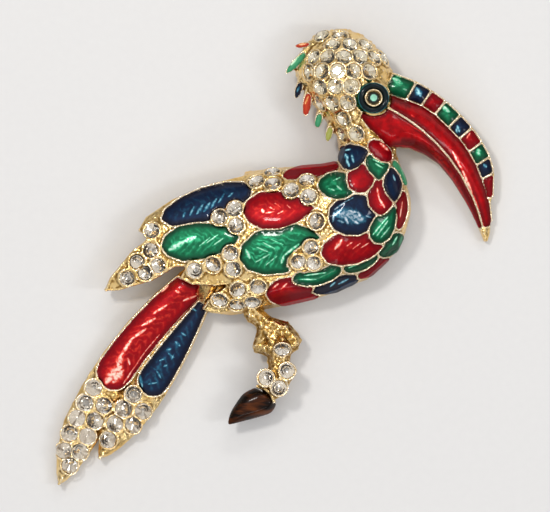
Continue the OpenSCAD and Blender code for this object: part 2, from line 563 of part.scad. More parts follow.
eye_z = head_z(eye_o[0], eye_o[1]);
module eye_place() {
  placed([eye_o[0], eye_o[1], eye_z], facing(0.12, 0.1)) children();
}

module gold_casting() {
  color("goldenrod") difference() {
    union() {
      intersection() {
        body_dome(0, back_z);
        linear_extrude(dome_z + body_rise + 1) {
          for (c = TIPS) polygon(leaf_pts(c, 0));
          translate(body_xy([46, -5])) square(body_xy([59, 140]));
        }
      }
      head_dome(0, back_z);
      mandible();
      casque();
      for (f = TAIL) feather(f);
      for (c = CREST) crest_plate(c, 0, -0.35, 1, 0, crest_t);
      for (b = BONES) bone(LEG[b[0]], LEG[b[1]]);
      on_leg() translate([0, 0, -0.13 * leg_l]) cylinder(h = 0.13 * leg_l, r = seat_r + wire / 3, $fn = 8);
      eye_place() translate([0, 0, -eye_h]) cylinder(h = eye_h, r = eye_d / 2 + wire / 4, $fn = 16);
    }
    intersection() {
      body_dome(wall, -1, 2);
      translate(concat(body_xy([50, -5]), -2)) cube(concat(body_xy([44, 140]), dome_z + body_rise + 2));
    }
    intersection() {
      head_dome(wall, -1, 2);
      translate(concat(head_xy([-10, -2]), -2)) cube([head_w * 1.2, head_h * 0.9, dome_z + head_rise + 2]);
    }
    for (k = [0:len(CELLS) - 1]) cell(k, enamel_gap);
    for (f = [TAIL[0], TAIL[1]]) tail_inlay(f, -1, enamel_gap);
    lower_patch(lower_from, mandible_to, -2, enamel_gap);
    upper_patch(upper_from, mandible_to, -2, enamel_gap);
    for (s = STRIPES) casque_patch(s[2], s[3], -1, enamel_gap);
    for (c = CREST) crest_enamel(c, enamel_gap);
    on_wing() seat(stone_d);
    on_crown() seat(stone_d);
    on_tail() seat(tail_stone_d);
    on_leg() seat(stone_d);
    claw_shape(enamel_gap);
    eye_place() translate([0, 0, enamel_gap / 2]) cylinder(h = 4, r = eye_d / 2 + wire / 2 + enamel_gap, $fn = 16);
  }
}

// The pin: a stem between a hinge block and a catch block on the edge of the back
module pin_finding() {
  color("gold") {
    for (p = [pin_from, pin_to - [pin_foot, 0]])
      translate([p[0], p[1] - pin_block / 2, 0]) cube([pin_foot, pin_block, back_z - enamel_gap]);
    translate([pin_from[0], pin_from[1], back_z / 2]) rotate([0, 90, 0])
      cylinder(h = pin_to[0] - pin_from[0], d = pin_d, $fn = 32);
  }
}

module beak_lower_red() {
  color("firebrick") difference() {
    lower_patch(lower_from, mandible_to, 0);
    eye_clear();
  }
}

module beak_upper_red() {
  color("firebrick") difference() {
    upper_patch(upper_from, mandible_to, 0);
    eye_clear();
  }
}

// Room that the eye's boss keeps clear of the beak's enamel
module eye_clear() {
  translate([eye_o[0], eye_o[1], 0]) cylinder(h = dome_z + head_rise * 2, r = eye_d / 2 + wire, $fn = 32);
}

module casque_stripe(s) {
  color(s[1]) casque_patch(s[2], s[3], 0);
}

module tail_red() {
  color("firebrick") tail_inlay(TAIL[0], 0);
}

module tail_blue() {
  color("navy") tail_inlay(TAIL[1], 0);
}

module crest_feather(c) {
  color(c[1]) crest_enamel(c);
}

// Three rings of the eye
module eye_ring() {
  bore = bezel_d / 2 + enamel_gap;
  rim = eye_d / 2;
  color("midnightblue") eye_place() translate([0, 0, enamel_gap]) rotate_extrude($fn = 32)
    polygon([[bore, 0], [rim, 0], [rim, eye_h * 0.35], [(bore + rim * 3) / 4, eye_h * 0.8],
      [(bore + rim) / 2, eye_h], [bore, eye_h * 0.9]]);
}

module eye_bezel() {
  color("gold") eye_place() translate([0, 0, enamel_gap]) rotate_extrude($fn = 32)
    polygon([[0, 0], [bezel_d / 2, 0], [bezel_d / 2, eye_h * 1.25], [bezel_d / 2 - wire / 3, eye_h * 1.35],
      [eye_stone_d / 2 + stone_gap, eye_h * 1.2], [eye_stone_d / 2 + stone_gap, eye_h * 0.95], [0, eye_h * 0.3]]);
}

module eye_stone() {
  color("seagreen") eye_place() translate([0, 0, enamel_gap + eye_h * 1.05]) cut_stone(eye_stone_d);
}

module claw() {
  color("saddlebrown") claw_shape();
}

module head_stones() {
  color("white") on_crown() cut_stone(stone_d);
}

module wing_stones() {
  color("white") on_wing() cut_stone(stone_d);
}

module tail_stones() {
  color("white") on_tail() cut_stone(tail_stone_d);
}

module leg_stones() {
  color("white") on_leg() cut_stone(stone_d);
}

// The middle of the brooch's box is the origin
module place() {
  translate([-middle[0], -middle[1], 0]) children();
}

place() gold_casting();
place() pin_finding();
for (k = [0:len(CELLS) - 1]) place() body_enamel(k);
place() beak_lower_red();
place() beak_upper_red();
for (s = STRIPES) place() casque_stripe(s);
place() tail_red();
place() tail_blue();
for (c = CREST) place() crest_feather(c);
place() eye_ring();
place() eye_bezel();
place() eye_stone();
place() claw();
place() head_stones();
place() wing_stones();
place() tail_stones();
place() leg_stones();
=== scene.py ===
# Bird brooch: enamel and set stones on a cast gold-toned body, seen from straight above
import json
import math
import random
import bpy
import bmesh
import numpy as np
from mathutils import Vector, Matrix, kdtree
from mathutils.bvhtree import BVHTree


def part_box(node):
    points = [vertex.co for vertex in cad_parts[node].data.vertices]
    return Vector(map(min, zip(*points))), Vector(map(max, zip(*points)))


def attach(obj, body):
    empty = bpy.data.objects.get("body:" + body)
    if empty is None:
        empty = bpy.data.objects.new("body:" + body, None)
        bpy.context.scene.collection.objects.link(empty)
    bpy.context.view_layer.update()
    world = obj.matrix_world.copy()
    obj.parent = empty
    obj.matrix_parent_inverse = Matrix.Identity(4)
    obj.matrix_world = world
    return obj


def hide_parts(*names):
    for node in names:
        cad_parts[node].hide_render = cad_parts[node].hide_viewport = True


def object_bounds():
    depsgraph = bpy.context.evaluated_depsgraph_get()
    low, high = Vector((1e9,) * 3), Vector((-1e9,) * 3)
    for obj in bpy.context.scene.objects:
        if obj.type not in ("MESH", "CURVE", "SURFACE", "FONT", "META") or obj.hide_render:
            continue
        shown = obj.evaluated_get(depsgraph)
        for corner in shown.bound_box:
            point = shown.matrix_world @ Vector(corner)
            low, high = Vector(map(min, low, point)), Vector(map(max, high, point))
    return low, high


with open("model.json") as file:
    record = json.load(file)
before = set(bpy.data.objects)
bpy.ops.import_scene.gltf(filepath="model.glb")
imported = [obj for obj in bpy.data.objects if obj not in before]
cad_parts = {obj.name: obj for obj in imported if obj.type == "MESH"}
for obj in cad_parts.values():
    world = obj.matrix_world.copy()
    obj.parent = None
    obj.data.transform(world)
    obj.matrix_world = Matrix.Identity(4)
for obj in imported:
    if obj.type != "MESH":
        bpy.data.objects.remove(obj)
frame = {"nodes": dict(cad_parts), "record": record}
cadBox = [list(corner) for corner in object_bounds()]
mm = 0.001
edgeRoom = 0.01
photo = {"pixel": 0.17, "midX": 274.8, "midY": 257.3, "width": 550, "height": 512}
slotOf = {part["node"]: part["material_slot"] for part in frame["record"]["subparts"]}


def atPixel(px, py):
    return Vector(((px - photo["midX"]) * photo["pixel"], (photo["midY"] - py) * photo["pixel"])) * mm


# Mesh helpers

def copyNode(name):
    bm = bmesh.new()
    bm.from_mesh(frame["nodes"][name].data)
    bmesh.ops.remove_doubles(bm, verts=bm.verts, dist=1e-6)
    bm.verts.index_update()
    return bm


def toObject(bm, name, smooth=True):
    mesh = bpy.data.meshes.new(name)
    bm.to_mesh(mesh)
    bm.free()
    if smooth:
        mesh.polygons.foreach_set("use_smooth", [True] * len(mesh.polygons))
    obj = bpy.data.objects.new(name, mesh)
    bpy.context.scene.collection.objects.link(obj)
    return obj


def opened(obj):
    bm = bmesh.new()
    bm.from_mesh(obj.data)
    return bm


def closeInto(obj, bm):
    bm.to_mesh(obj.data)
    bm.free()


def relax(bm, factor, steps):
    for step in range(steps):
        bmesh.ops.smooth_vert(bm, verts=bm.verts, factor=factor, use_axis_x=True, use_axis_y=True, use_axis_z=True)


def handOver(obj, node):
    # every piece rides on the only body and stands for one CAD node
    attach(obj, "root")
    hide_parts(node)


def finishPiece(obj, node, material, smooth=True):
    if smooth:
        obj.data.polygons.foreach_set("use_smooth", [True] * len(obj.data.polygons))
    obj.data.materials.clear()
    obj.data.materials.append(material)
    handOver(obj, node)


def upright(at, way, roll=0.0):
    return Matrix.Translation(at) @ way.to_track_quat("Z", "Y").to_matrix().to_4x4() @ Matrix.Rotation(roll, 4, "Z")


def applyModifiers(obj):
    graph = bpy.context.evaluated_depsgraph_get()
    graph.update()
    made = bpy.data.meshes.new_from_object(obj.evaluated_get(graph))
    old = obj.data
    obj.modifiers.clear()
    obj.data = made
    bpy.data.meshes.remove(old)


def remesh(obj, voxel):
    mod = obj.modifiers.new("voxels", "REMESH")
    mod.mode = "VOXEL"
    mod.voxel_size = voxel
    mod.use_smooth_shade = True
    applyModifiers(obj)


def pour(into, small):
    mesh = bpy.data.meshes.new("small")
    small.to_mesh(mesh)
    small.free()
    into.from_mesh(mesh)
    bpy.data.meshes.remove(mesh)


def inLots(into, items, make, lot=40):
    # operators are quick on a small bmesh, so many small shapes are made a lot at a time
    for first in range(0, len(items), lot):
        small = bmesh.new()
        for item in items[first:first + lot]:
            make(small, item)
        pour(into, small)


def settle(obj, chosen, steps):
    obj.vertex_groups.new(name="soft").add(chosen, 1.0, "REPLACE")
    mod = obj.modifiers.new("settle", "SMOOTH")
    mod.factor = 0.5
    mod.iterations = steps
    mod.vertex_group = "soft"
    applyModifiers(obj)
    obj.vertex_groups.clear()


def keepInside(bm):
    # nothing reaches out of the box of the CAD model
    low, high = ([side + room * mm for side in corner] for corner, room in zip(cadBox, (edgeRoom, -edgeRoom)))
    for v in bm.verts:
        for axis in range(3):
            v.co[axis] = min(high[axis], max(low[axis], v.co[axis]))


def floatAttribute(mesh, name, values):
    if isinstance(values, float):
        values = [values] * len(mesh.vertices)
    layer = mesh.attributes.new(name, "FLOAT", "POINT")
    layer.data.foreach_set("value", np.asarray(values, np.float32))


def featherMap(mesh, centre, angle):
    # UV of a feather: u runs along it and v across it, in millimetres from its middle
    co = np.zeros(len(mesh.vertices) * 3, np.float32)
    mesh.vertices.foreach_get("co", co)
    co = co.reshape(-1, 3)[:, :2] / mm - np.array(centre)
    c, s = math.cos(angle), math.sin(angle)
    uv = np.stack([co[:, 0] * c + co[:, 1] * s, -co[:, 0] * s + co[:, 1] * c], 1)
    corner = np.zeros(len(mesh.loops), np.int32)
    mesh.loops.foreach_get("vertex_index", corner)
    layer = mesh.uv_layers.get("feather") or mesh.uv_layers.new(name="feather")
    layer.data.foreach_set("uv", uv[corner].astype(np.float32).ravel())


# Shader helpers

def newTree(name):
    mat = bpy.data.materials.new(name)
    mat.use_nodes = True
    tree = mat.node_tree
    tree.nodes.clear()
    out = tree.nodes.new("ShaderNodeOutputMaterial")
    shader = tree.nodes.new("ShaderNodeBsdfPrincipled")
    tree.links.new(shader.outputs["BSDF"], out.inputs["Surface"])
    return mat, tree, shader


def feed(node, **inputs):
    # an output is linked and a constant is set; i0, i1 and so on name an input by its number
    for key, value in inputs.items():
        byNumber = key[0] == "i" and key[1:].isdigit()
        socket = node.inputs[int(key[1:]) if byNumber else key.replace("_", " ")]
        if isinstance(value, bpy.types.NodeSocket):
            node.id_data.links.new(value, socket)
        else:
            socket.default_value = value


def add(tree, kind, settings=None, **inputs):
    node = tree.nodes.new(kind)
    for key, value in (settings or {}).items():
        setattr(node, key, value)
    feed(node, **inputs)
    return node


def maths(operation, a, b=0.0, clamp=False):
    tree = (a if isinstance(a, bpy.types.NodeSocket) else b).id_data
    return add(tree, "ShaderNodeMath", {"operation": operation, "use_clamp": clamp}, i0=a, i1=b).outputs[0]


def plus(a, b, clamp=False):
    return maths("ADD", a, b, clamp)


def times(a, b, clamp=False):
    return maths("MULTIPLY", a, b, clamp)


def noise(where, scale, detail, roughness=0.5):
    node = add(where.id_data, "ShaderNodeTexNoise", Vector=where, Scale=scale, Detail=detail, Roughness=roughness)
    return node.outputs["Fac"]


def painted(tree, name):
    return add(tree, "ShaderNodeAttribute", {"attribute_name": name}).outputs["Fac"]


def tinted(colour, red, green, blue):
    return (colour[0] * red, colour[1] * green, colour[2] * blue, 1)


def mixColour(factor, a, b):
    return add(factor.id_data, "ShaderNodeMix", {"data_type": "RGBA"}, i0=factor, i6=a, i7=b).outputs[2]


def ramp(factor, low, high, toLow=0.0, toHigh=1.0):
    return add(factor.id_data, "ShaderNodeMapRange", {"interpolation_type": "SMOOTHSTEP"},
               i0=factor, i1=low, i2=high, i3=toLow, i4=toHigh).outputs[0]


def bumped(height, strength, depth):
    return add(height.id_data, "ShaderNodeBump", Height=height, Strength=strength, Distance=depth * mm).outputs[0]


def newGroup(name, inputs, outputs):
    # an input with no value is a vector, and every other socket is a number
    tree = bpy.data.node_groups.new(name, "ShaderNodeTree")
    for label, value in inputs.items():
        kind = "NodeSocketVector" if value is None else "NodeSocketFloat"
        socket = tree.interface.new_socket(name=label, in_out="INPUT", socket_type=kind)
        if value is not None:
            socket.default_value = value
    for label in outputs:
        tree.interface.new_socket(name=label, in_out="OUTPUT", socket_type="NodeSocketFloat")
    return tree, tree.nodes.new("NodeGroupInput"), tree.nodes.new("NodeGroupOutput")


def place(tree, group, **inputs):
    return add(tree, "ShaderNodeGroup", {"node_tree": group}, **inputs)


# Grain of cast metal: fine pits, soft lumps and a broad drift, all in object space
def makeCastGrain():
    tree, gin, gout = newGroup("castGrain", {"Vector": None, "Fine": 5.0, "Broad": 0.6}, ("Height", "Drift", "Pits"))
    where, scale = gin.outputs["Vector"], gin.outputs["Fine"]
    cells = add(tree, "ShaderNodeTexVoronoi", {"feature": "F1"}, Vector=where, Scale=scale)
    pits = ramp(cells.outputs["Distance"], 0.0, 0.45, 1.0, 0.0)
    height = plus(noise(where, scale, 3.0, 0.6), times(pits, -0.5))
    drift = ramp(noise(where, gin.outputs["Broad"], 2.0), 0.3, 0.7)
    feed(gout, Height=height, Drift=drift, Pits=pits)
    return tree


# Veins that run out from a feather's midrib, on the feather's own UV in millimetres
def makeFeatherVeins():
    tree, gin, gout = newGroup("featherVeins", {"Vector": None, "Pitch": 1.2, "Slope": 1.2, "Sharpness": 3.0,
                                                "Wander": 0.6, "Broken": 0.5}, ("Veins", "Height", "Cloud"))
    where, broken = gin.outputs["Vector"], gin.outputs["Broken"]
    off = times(maths("SUBTRACT", noise(where, 0.55, 2.0), 0.5), gin.outputs["Wander"])
    parts = add(tree, "ShaderNodeSeparateXYZ", Vector=where)
    side = maths("ABSOLUTE", plus(parts.outputs["Y"], off))
    along = maths("SUBTRACT", parts.outputs["X"], times(side, gin.outputs["Slope"]))
    along = plus(along, times(off, 2.0))
    wave = maths("SINE", times(maths("DIVIDE", along, gin.outputs["Pitch"]), 2 * math.pi))
    ridge = maths("POWER", times(plus(wave, 1.0), 0.5), gin.outputs["Sharpness"])
    patch = noise(where, 0.9, 3.0, 0.6)
    shown = plus(times(ramp(patch, 0.38, 0.62), broken), maths("SUBTRACT", 1.0, broken))
    height = plus(ridge, times(ramp(side, 0.0, 0.35, 1.0, 0.0), 0.8))
    feed(gout, Veins=times(ridge, shown, True), Height=height, Cloud=ramp(patch, 0.3, 0.75))
    return tree


castGrain = makeCastGrain()
featherVeins = makeFeatherVeins()


def objectMm(tree):
    where = tree.nodes.new("ShaderNodeTexCoord").outputs["Object"]
    return add(tree, "ShaderNodeVectorMath", {"operation": "SCALE"}, i0=where, Scale=1000.0).outputs[0]


# deep is the painted shade in the metal's hollows, and edge is the painted highlight on its ridges
gold = {"bright": (0.84, 0.55, 0.19, 1), "pale": (0.92, 0.68, 0.32, 1), "deep": (0.26, 0.13, 0.022, 1),
        "edge": (1.0, 0.87, 0.66, 1), "shine": 0.16, "dull": 0.30, "grain": 0.07}


def makeGold(name, spec):
    mat, tree, shader = newTree(name)
    grain = place(tree, castGrain, Vector=objectMm(tree), Fine=3.2, Broad=0.28)
    hollow, ridge = painted(tree, "hollow"), painted(tree, "ridge")
    colour = mixColour(grain.outputs["Drift"], spec["bright"], spec["pale"])
    # painted shade: the hollows darken towards deep
    colour = mixColour(ramp(hollow, 0.05, 0.45, 0.0, 0.95), colour, spec["deep"])
    # painted highlight: ridges and wires turn to the paler edge colour
    colour = mixColour(ramp(ridge, 0.3, 1.2, 0.0, 0.9), colour, spec["edge"])
    rough = plus(times(grain.outputs["Pits"], spec["dull"] - spec["shine"]), spec["shine"])
    feed(shader, Base_Color=colour, Metallic=1.0, Roughness=plus(rough, times(hollow, 0.25), True),
         Normal=bumped(grain.outputs["Height"], 0.6, spec["grain"]))
    return mat


# paintedHighlight is the colour of the painted highlights and reflections on each enamel
enamels = {
    "red": {"deep": (0.15, 0.0, 0.004, 1), "body": (0.39, 0.001, 0.005, 1), "vein": (0.80, 0.05, 0.028, 1),
            "paintedHighlight": (1.0, 0.72, 0.58, 1), "pitch": 1.5, "slope": 1.1, "coat": 0.55},
    "scarlet": {"deep": (0.13, 0.0, 0.002, 1), "body": (0.47, 0.001, 0.004, 1), "vein": (0.84, 0.016, 0.014, 1),
                "paintedHighlight": (1.0, 0.72, 0.58, 1), "pitch": 1.5, "slope": 1.1, "coat": 0.55},
    "green": {"deep": (0.0, 0.040, 0.016, 1), "body": (0.004, 0.19, 0.075, 1), "vein": (0.05, 0.55, 0.26, 1),
              "paintedHighlight": (0.72, 0.98, 0.82, 1), "pitch": 1.35, "slope": 1.2},
    "blue": {"deep": (0.002, 0.003, 0.014, 1), "body": (0.003, 0.018, 0.058, 1), "vein": (0.02, 0.17, 0.28, 1),
             "paintedHighlight": (0.45, 0.85, 0.92, 1), "pitch": 1.6, "slope": 0.9},
    # the blue enamel with white painted highlights and reflections
    "blueWhiteHighlights": {"deep": (0.002, 0.003, 0.014, 1), "body": (0.003, 0.018, 0.058, 1), "vein": (0.03, 0.17, 0.26, 1),
              "paintedHighlight": (0.76, 0.82, 0.88, 1), "pitch": 1.6, "slope": 0.9},
    "orange": {"deep": (0.42, 0.03, 0.01, 1), "body": (0.85, 0.11, 0.03, 1), "vein": (0.98, 0.42, 0.12, 1),
               "paintedHighlight": (1.0, 0.85, 0.6, 1), "pitch": 1.1, "slope": 1.0},
    "mint": {"deep": (0.04, 0.26, 0.12, 1), "body": (0.16, 0.62, 0.32, 1), "vein": (0.5, 0.9, 0.55, 1),
             "paintedHighlight": (0.9, 1.0, 0.85, 1), "pitch": 1.0, "slope": 1.0},
    "pale": {"deep": (0.36, 0.38, 0.08, 1), "body": (0.66, 0.72, 0.30, 1), "vein": (0.88, 0.9, 0.6, 1),
             "paintedHighlight": (1.0, 1.0, 0.85, 1), "pitch": 0.9, "slope": 1.0},
    "dark": {"deep": (0.0, 0.003, 0.005, 1), "body": (0.001, 0.012, 0.016, 1), "vein": (0.02, 0.25, 0.27, 1),
             "paintedHighlight": (0.2, 0.7, 0.7, 1), "pitch": 1.5, "slope": 0.0},
}


def makeEnamel(name, spec):
    mat, tree, shader = newTree(name)
    uv = add(tree, "ShaderNodeUVMap", {"uv_map": "feather"}).outputs[0]
    veins = place(tree, featherVeins, Vector=uv, Pitch=spec["pitch"], Slope=spec["slope"], Sharpness=3.2,
                  Wander=1.3, Broken=0.75)
    inset, veined = painted(tree, "inset"), painted(tree, "veining")
    paintedHighlight = times(painted(tree, "paintedHighlight"), ramp(noise(uv, 1.9, 2.0, 0.6), 0.36, 0.58, 0.5, 1.0))
    awayFromWall, inner = ramp(inset, 0.1, 0.9), ramp(inset, 0.4, 1.7)
    cloud = plus(times(veins.outputs["Cloud"], 0.6), 0.4)
    shown = times(times(veins.outputs["Veins"], veined), inner)
    # darker towards the walls: painted shade there, together with the deeper tone of the enamel by the wall
    colour = mixColour(times(awayFromWall, cloud), spec["deep"], spec["body"])
    colour = mixColour(shown, colour, spec["vein"])
    # painted highlights: first towards the vein colour, then towards the highlight colour
    colour = mixColour(ramp(paintedHighlight, 0.05, 0.5, 0.0, 0.85), colour, spec["vein"])
    colour = mixColour(ramp(paintedHighlight, 0.35, 1.0), colour, spec["paintedHighlight"])
    relief = times(times(veins.outputs["Height"], veined), inner)
    facing = tree.nodes.new("ShaderNodeTexCoord").outputs["Normal"]
    upward = add(tree, "ShaderNodeSeparateXYZ", Vector=facing).outputs["Z"]
    feed(shader, Base_Color=colour, Roughness=ramp(paintedHighlight, 0.2, 0.9, 0.38, 0.25),
         Metallic=times(awayFromWall, 0.3), Normal=bumped(relief, 0.8, 0.025), Specular_IOR_Level=0.06,
         Coat_Weight=ramp(upward, 0.2, 0.95, 0.05, spec.get("coat", 1.0)), Coat_Roughness=0.07, Coat_IOR=1.27)
    return mat


# Stones: glass over a foil, and shade is the colour of the foil's darkest facets, which are painted dark reflections
stoneLooks = {
    "clear": {"glass": (1.0, 0.98, 0.94, 1), "foil": (1.0, 0.955, 0.87, 1), "shade": (0.34, 0.26, 0.19, 1),
              "ior": 1.5},
    "warm": {"glass": (1.0, 0.975, 0.91, 1), "foil": (1.0, 0.94, 0.79, 1), "shade": (0.46, 0.35, 0.2, 1),
             "ior": 1.5},
    "mint": {"glass": (0.10, 0.42, 0.26, 1), "foil": (0.02, 0.14, 0.08, 1), "shade": (0.0, 0.05, 0.03, 1),
             "ior": 1.56},
}


def makeGlass(name, spec):
    mat, tree, shader = newTree(name)
    drift = place(tree, castGrain, Vector=objectMm(tree), Fine=1.2, Broad=0.5).outputs["Drift"]
    colour = mixColour(times(drift, 0.25), spec["glass"], tinted(spec["glass"], 0.97, 0.91, 0.90))
    feed(shader, Base_Color=colour, Roughness=0.0, IOR=spec["ior"], Transmission_Weight=1.0)
    return mat


def makeFoil(name, spec):
    mat, tree, shader = newTree(name)
    grain = place(tree, castGrain, Vector=objectMm(tree), Fine=2.5, Broad=0.7)
    drift = times(grain.outputs["Drift"], 0.3)
    colour = mixColour(drift, spec["foil"], tinted(spec["foil"], 0.88, 0.88, 0.88))
    # painted dark reflections: some facets turn towards the shade colour
    colour = mixColour(painted(tree, "tone"), spec["shade"], colour)
    rough = ramp(grain.outputs["Pits"], 0.0, 1.0, 0.02, 0.07)
    feed(shader, Base_Color=colour, Roughness=rough, Metallic=0.96)
    return mat


goldMat = makeGold("pale gold plating", gold)
enamelMats = {key: makeEnamel(key + " enamel", spec) for key, spec in enamels.items()}
glassMats = {key: makeGlass(key + " stone glass", spec) for key, spec in stoneLooks.items()}
foilMats = {key: makeFoil(key + " stone foil", spec) for key, spec in stoneLooks.items()}
litTable = {"colour": (0.32, 0.72, 0.52, 1), "rough": 0.12}  # the bright top of the eye's stone
tableMat, tree, shader = newTree("lit table of the eye stone")
drift = place(tree, castGrain, Vector=objectMm(tree), Fine=1.6, Broad=0.9).outputs["Drift"]
colour = mixColour(drift, litTable["colour"], tinted(litTable["colour"], 0.7, 0.7, 0.7))
feed(shader, Base_Color=colour, Roughness=litTable["rough"])
print("materials ready")

# Seats of the stones, read from the CAD stones: the centre, axis and radius of each
girdleBand = {"fromApex": 0.2, "fromTop": 0.1}  # what is left out of a stone's height to find its girdle
stoneLook = {"head_stones": "warm", "wing_stones": "clear", "tail_stones": "clear", "leg_stones": "clear"}


def loosePieces(node):
    bm = copyNode(node)
    seen = set()
    found = []
    for first in bm.verts:  # in the order of the mesh, so that each run gives the same stones
        if first.index in seen:
            continue
        seen.add(first.index)
        todo, piece = [first], [first]
        while todo:
            for edge in todo.pop().link_edges:
                for v in edge.verts:
                    if v.index not in seen:
                        seen.add(v.index)
                        todo.append(v)
                        piece.append(v)
        found.append([v.co.copy() for v in piece])
    bm.free()
    return found


def stoneSeat(points):
    middle = sum(points, Vector()) / len(points)
    apex = max(points, key=lambda p: min((p - q).length for q in points if q != p))
    axis = (middle - apex).normalized()
    heights = [(p - apex).dot(axis) for p in points]
    low, high = min(heights), max(heights)
    start, end = low + girdleBand["fromApex"] * (high - low), high - girdleBand["fromTop"] * (high - low)
    girdle = [p for p, height in zip(points, heights) if start < height < end]
    centre = sum(girdle, Vector()) / len(girdle)
    radius = sum((p - centre).length for p in girdle) / len(girdle)
    return centre, axis, radius


seatsOf = {node: [stoneSeat(points) for points in loosePieces(node)] for node in [*stoneLook, "eye_stone"]}
seats = [seat for node in stoneLook for seat in seatsOf[node]]
pits = kdtree.KDTree(len(seats))
for k, seat in enumerate(seats):
    pits.insert(seat[0], k)
pits.balance()


# Room for a stone's rim: an edge between bite and far from its girdle, in mm, moves out past rim
rimRoom = {"bite": -0.15, "rim": 0.42, "far": 0.95, "reach": 3.2}


def leaveRim(v):
    # an enamel's edge keeps clear of a stone, so that the stone's gold rim shows
    for at, k, gap in pits.find_range(v.co, rimRoom["reach"] * mm):
        centre, axis, radius = seats[k]
        flat = (v.co - centre) - axis * (v.co - centre).dot(axis)
        low, rim, far = (radius + rimRoom[key] * mm for key in ("bite", "rim", "far"))
        if 1e-6 < flat.length < far:
            share = max(0.0, flat.length - low) / (far - low)
            v.co += flat.normalized() * (rim + share * (far - rim) - flat.length)


# Enamel cells: each is a copy of its inlay, rebuilt in fine even faces, its height smoothed and cushioned
cellShape = {"voxel": 0.17, "settle": 90, "round": 2, "relax": 0.4, "upright": 0.3, "topFacing": 0.2,
             "edgeKept": 0.2, "cushion": 0.15, "casqueCushion": 0.4, "cushionWidth": 0.9, "rim": 0.05,
             "grow": 0.22, "beakGrow": 0.13, "casqueGrow": 0.16, "crestGrow": 0.10, "growTop": 0.4,
             "plainVeining": 0.06, "feathersDown": math.radians(205)}  # the way that most feathers point
finish = {  # where the name alone doesn't tell the enamel
    "shoulder_blue": "blueWhiteHighlights", "crest_green": "mint", "crest_leaf": "mint", "crest_pale": "pale",
    "breast_edge_green": "mint", "crest_orange": "orange", "crest_red": "orange", "beak_lower_red": "scarlet",
    "beak_upper_red": "scarlet",
}
veining = {node: share for share, nodes in {
    0.85: "wing_leaf_green", 0.7: "shoulder_green", 0.6: "under_green chest_green belly_green",
    0.5: "wing_green neck_green belly_edge_green tail_red", 0.45: "tail_blue", 0.3: "under_blue neck_blue",
    0.35: "casque_green_1 casque_green_2 casque_green_3", 0.32: "wing_red", 0.25: "under_red", 0.2: "wing_blue",
    0.16: "covert_red",
    0.0: "breast_red crest_green crest_leaf crest_pale crest_orange crest_red beak_upper_red beak_lower_red",
}.items() for node in nodes.split()}
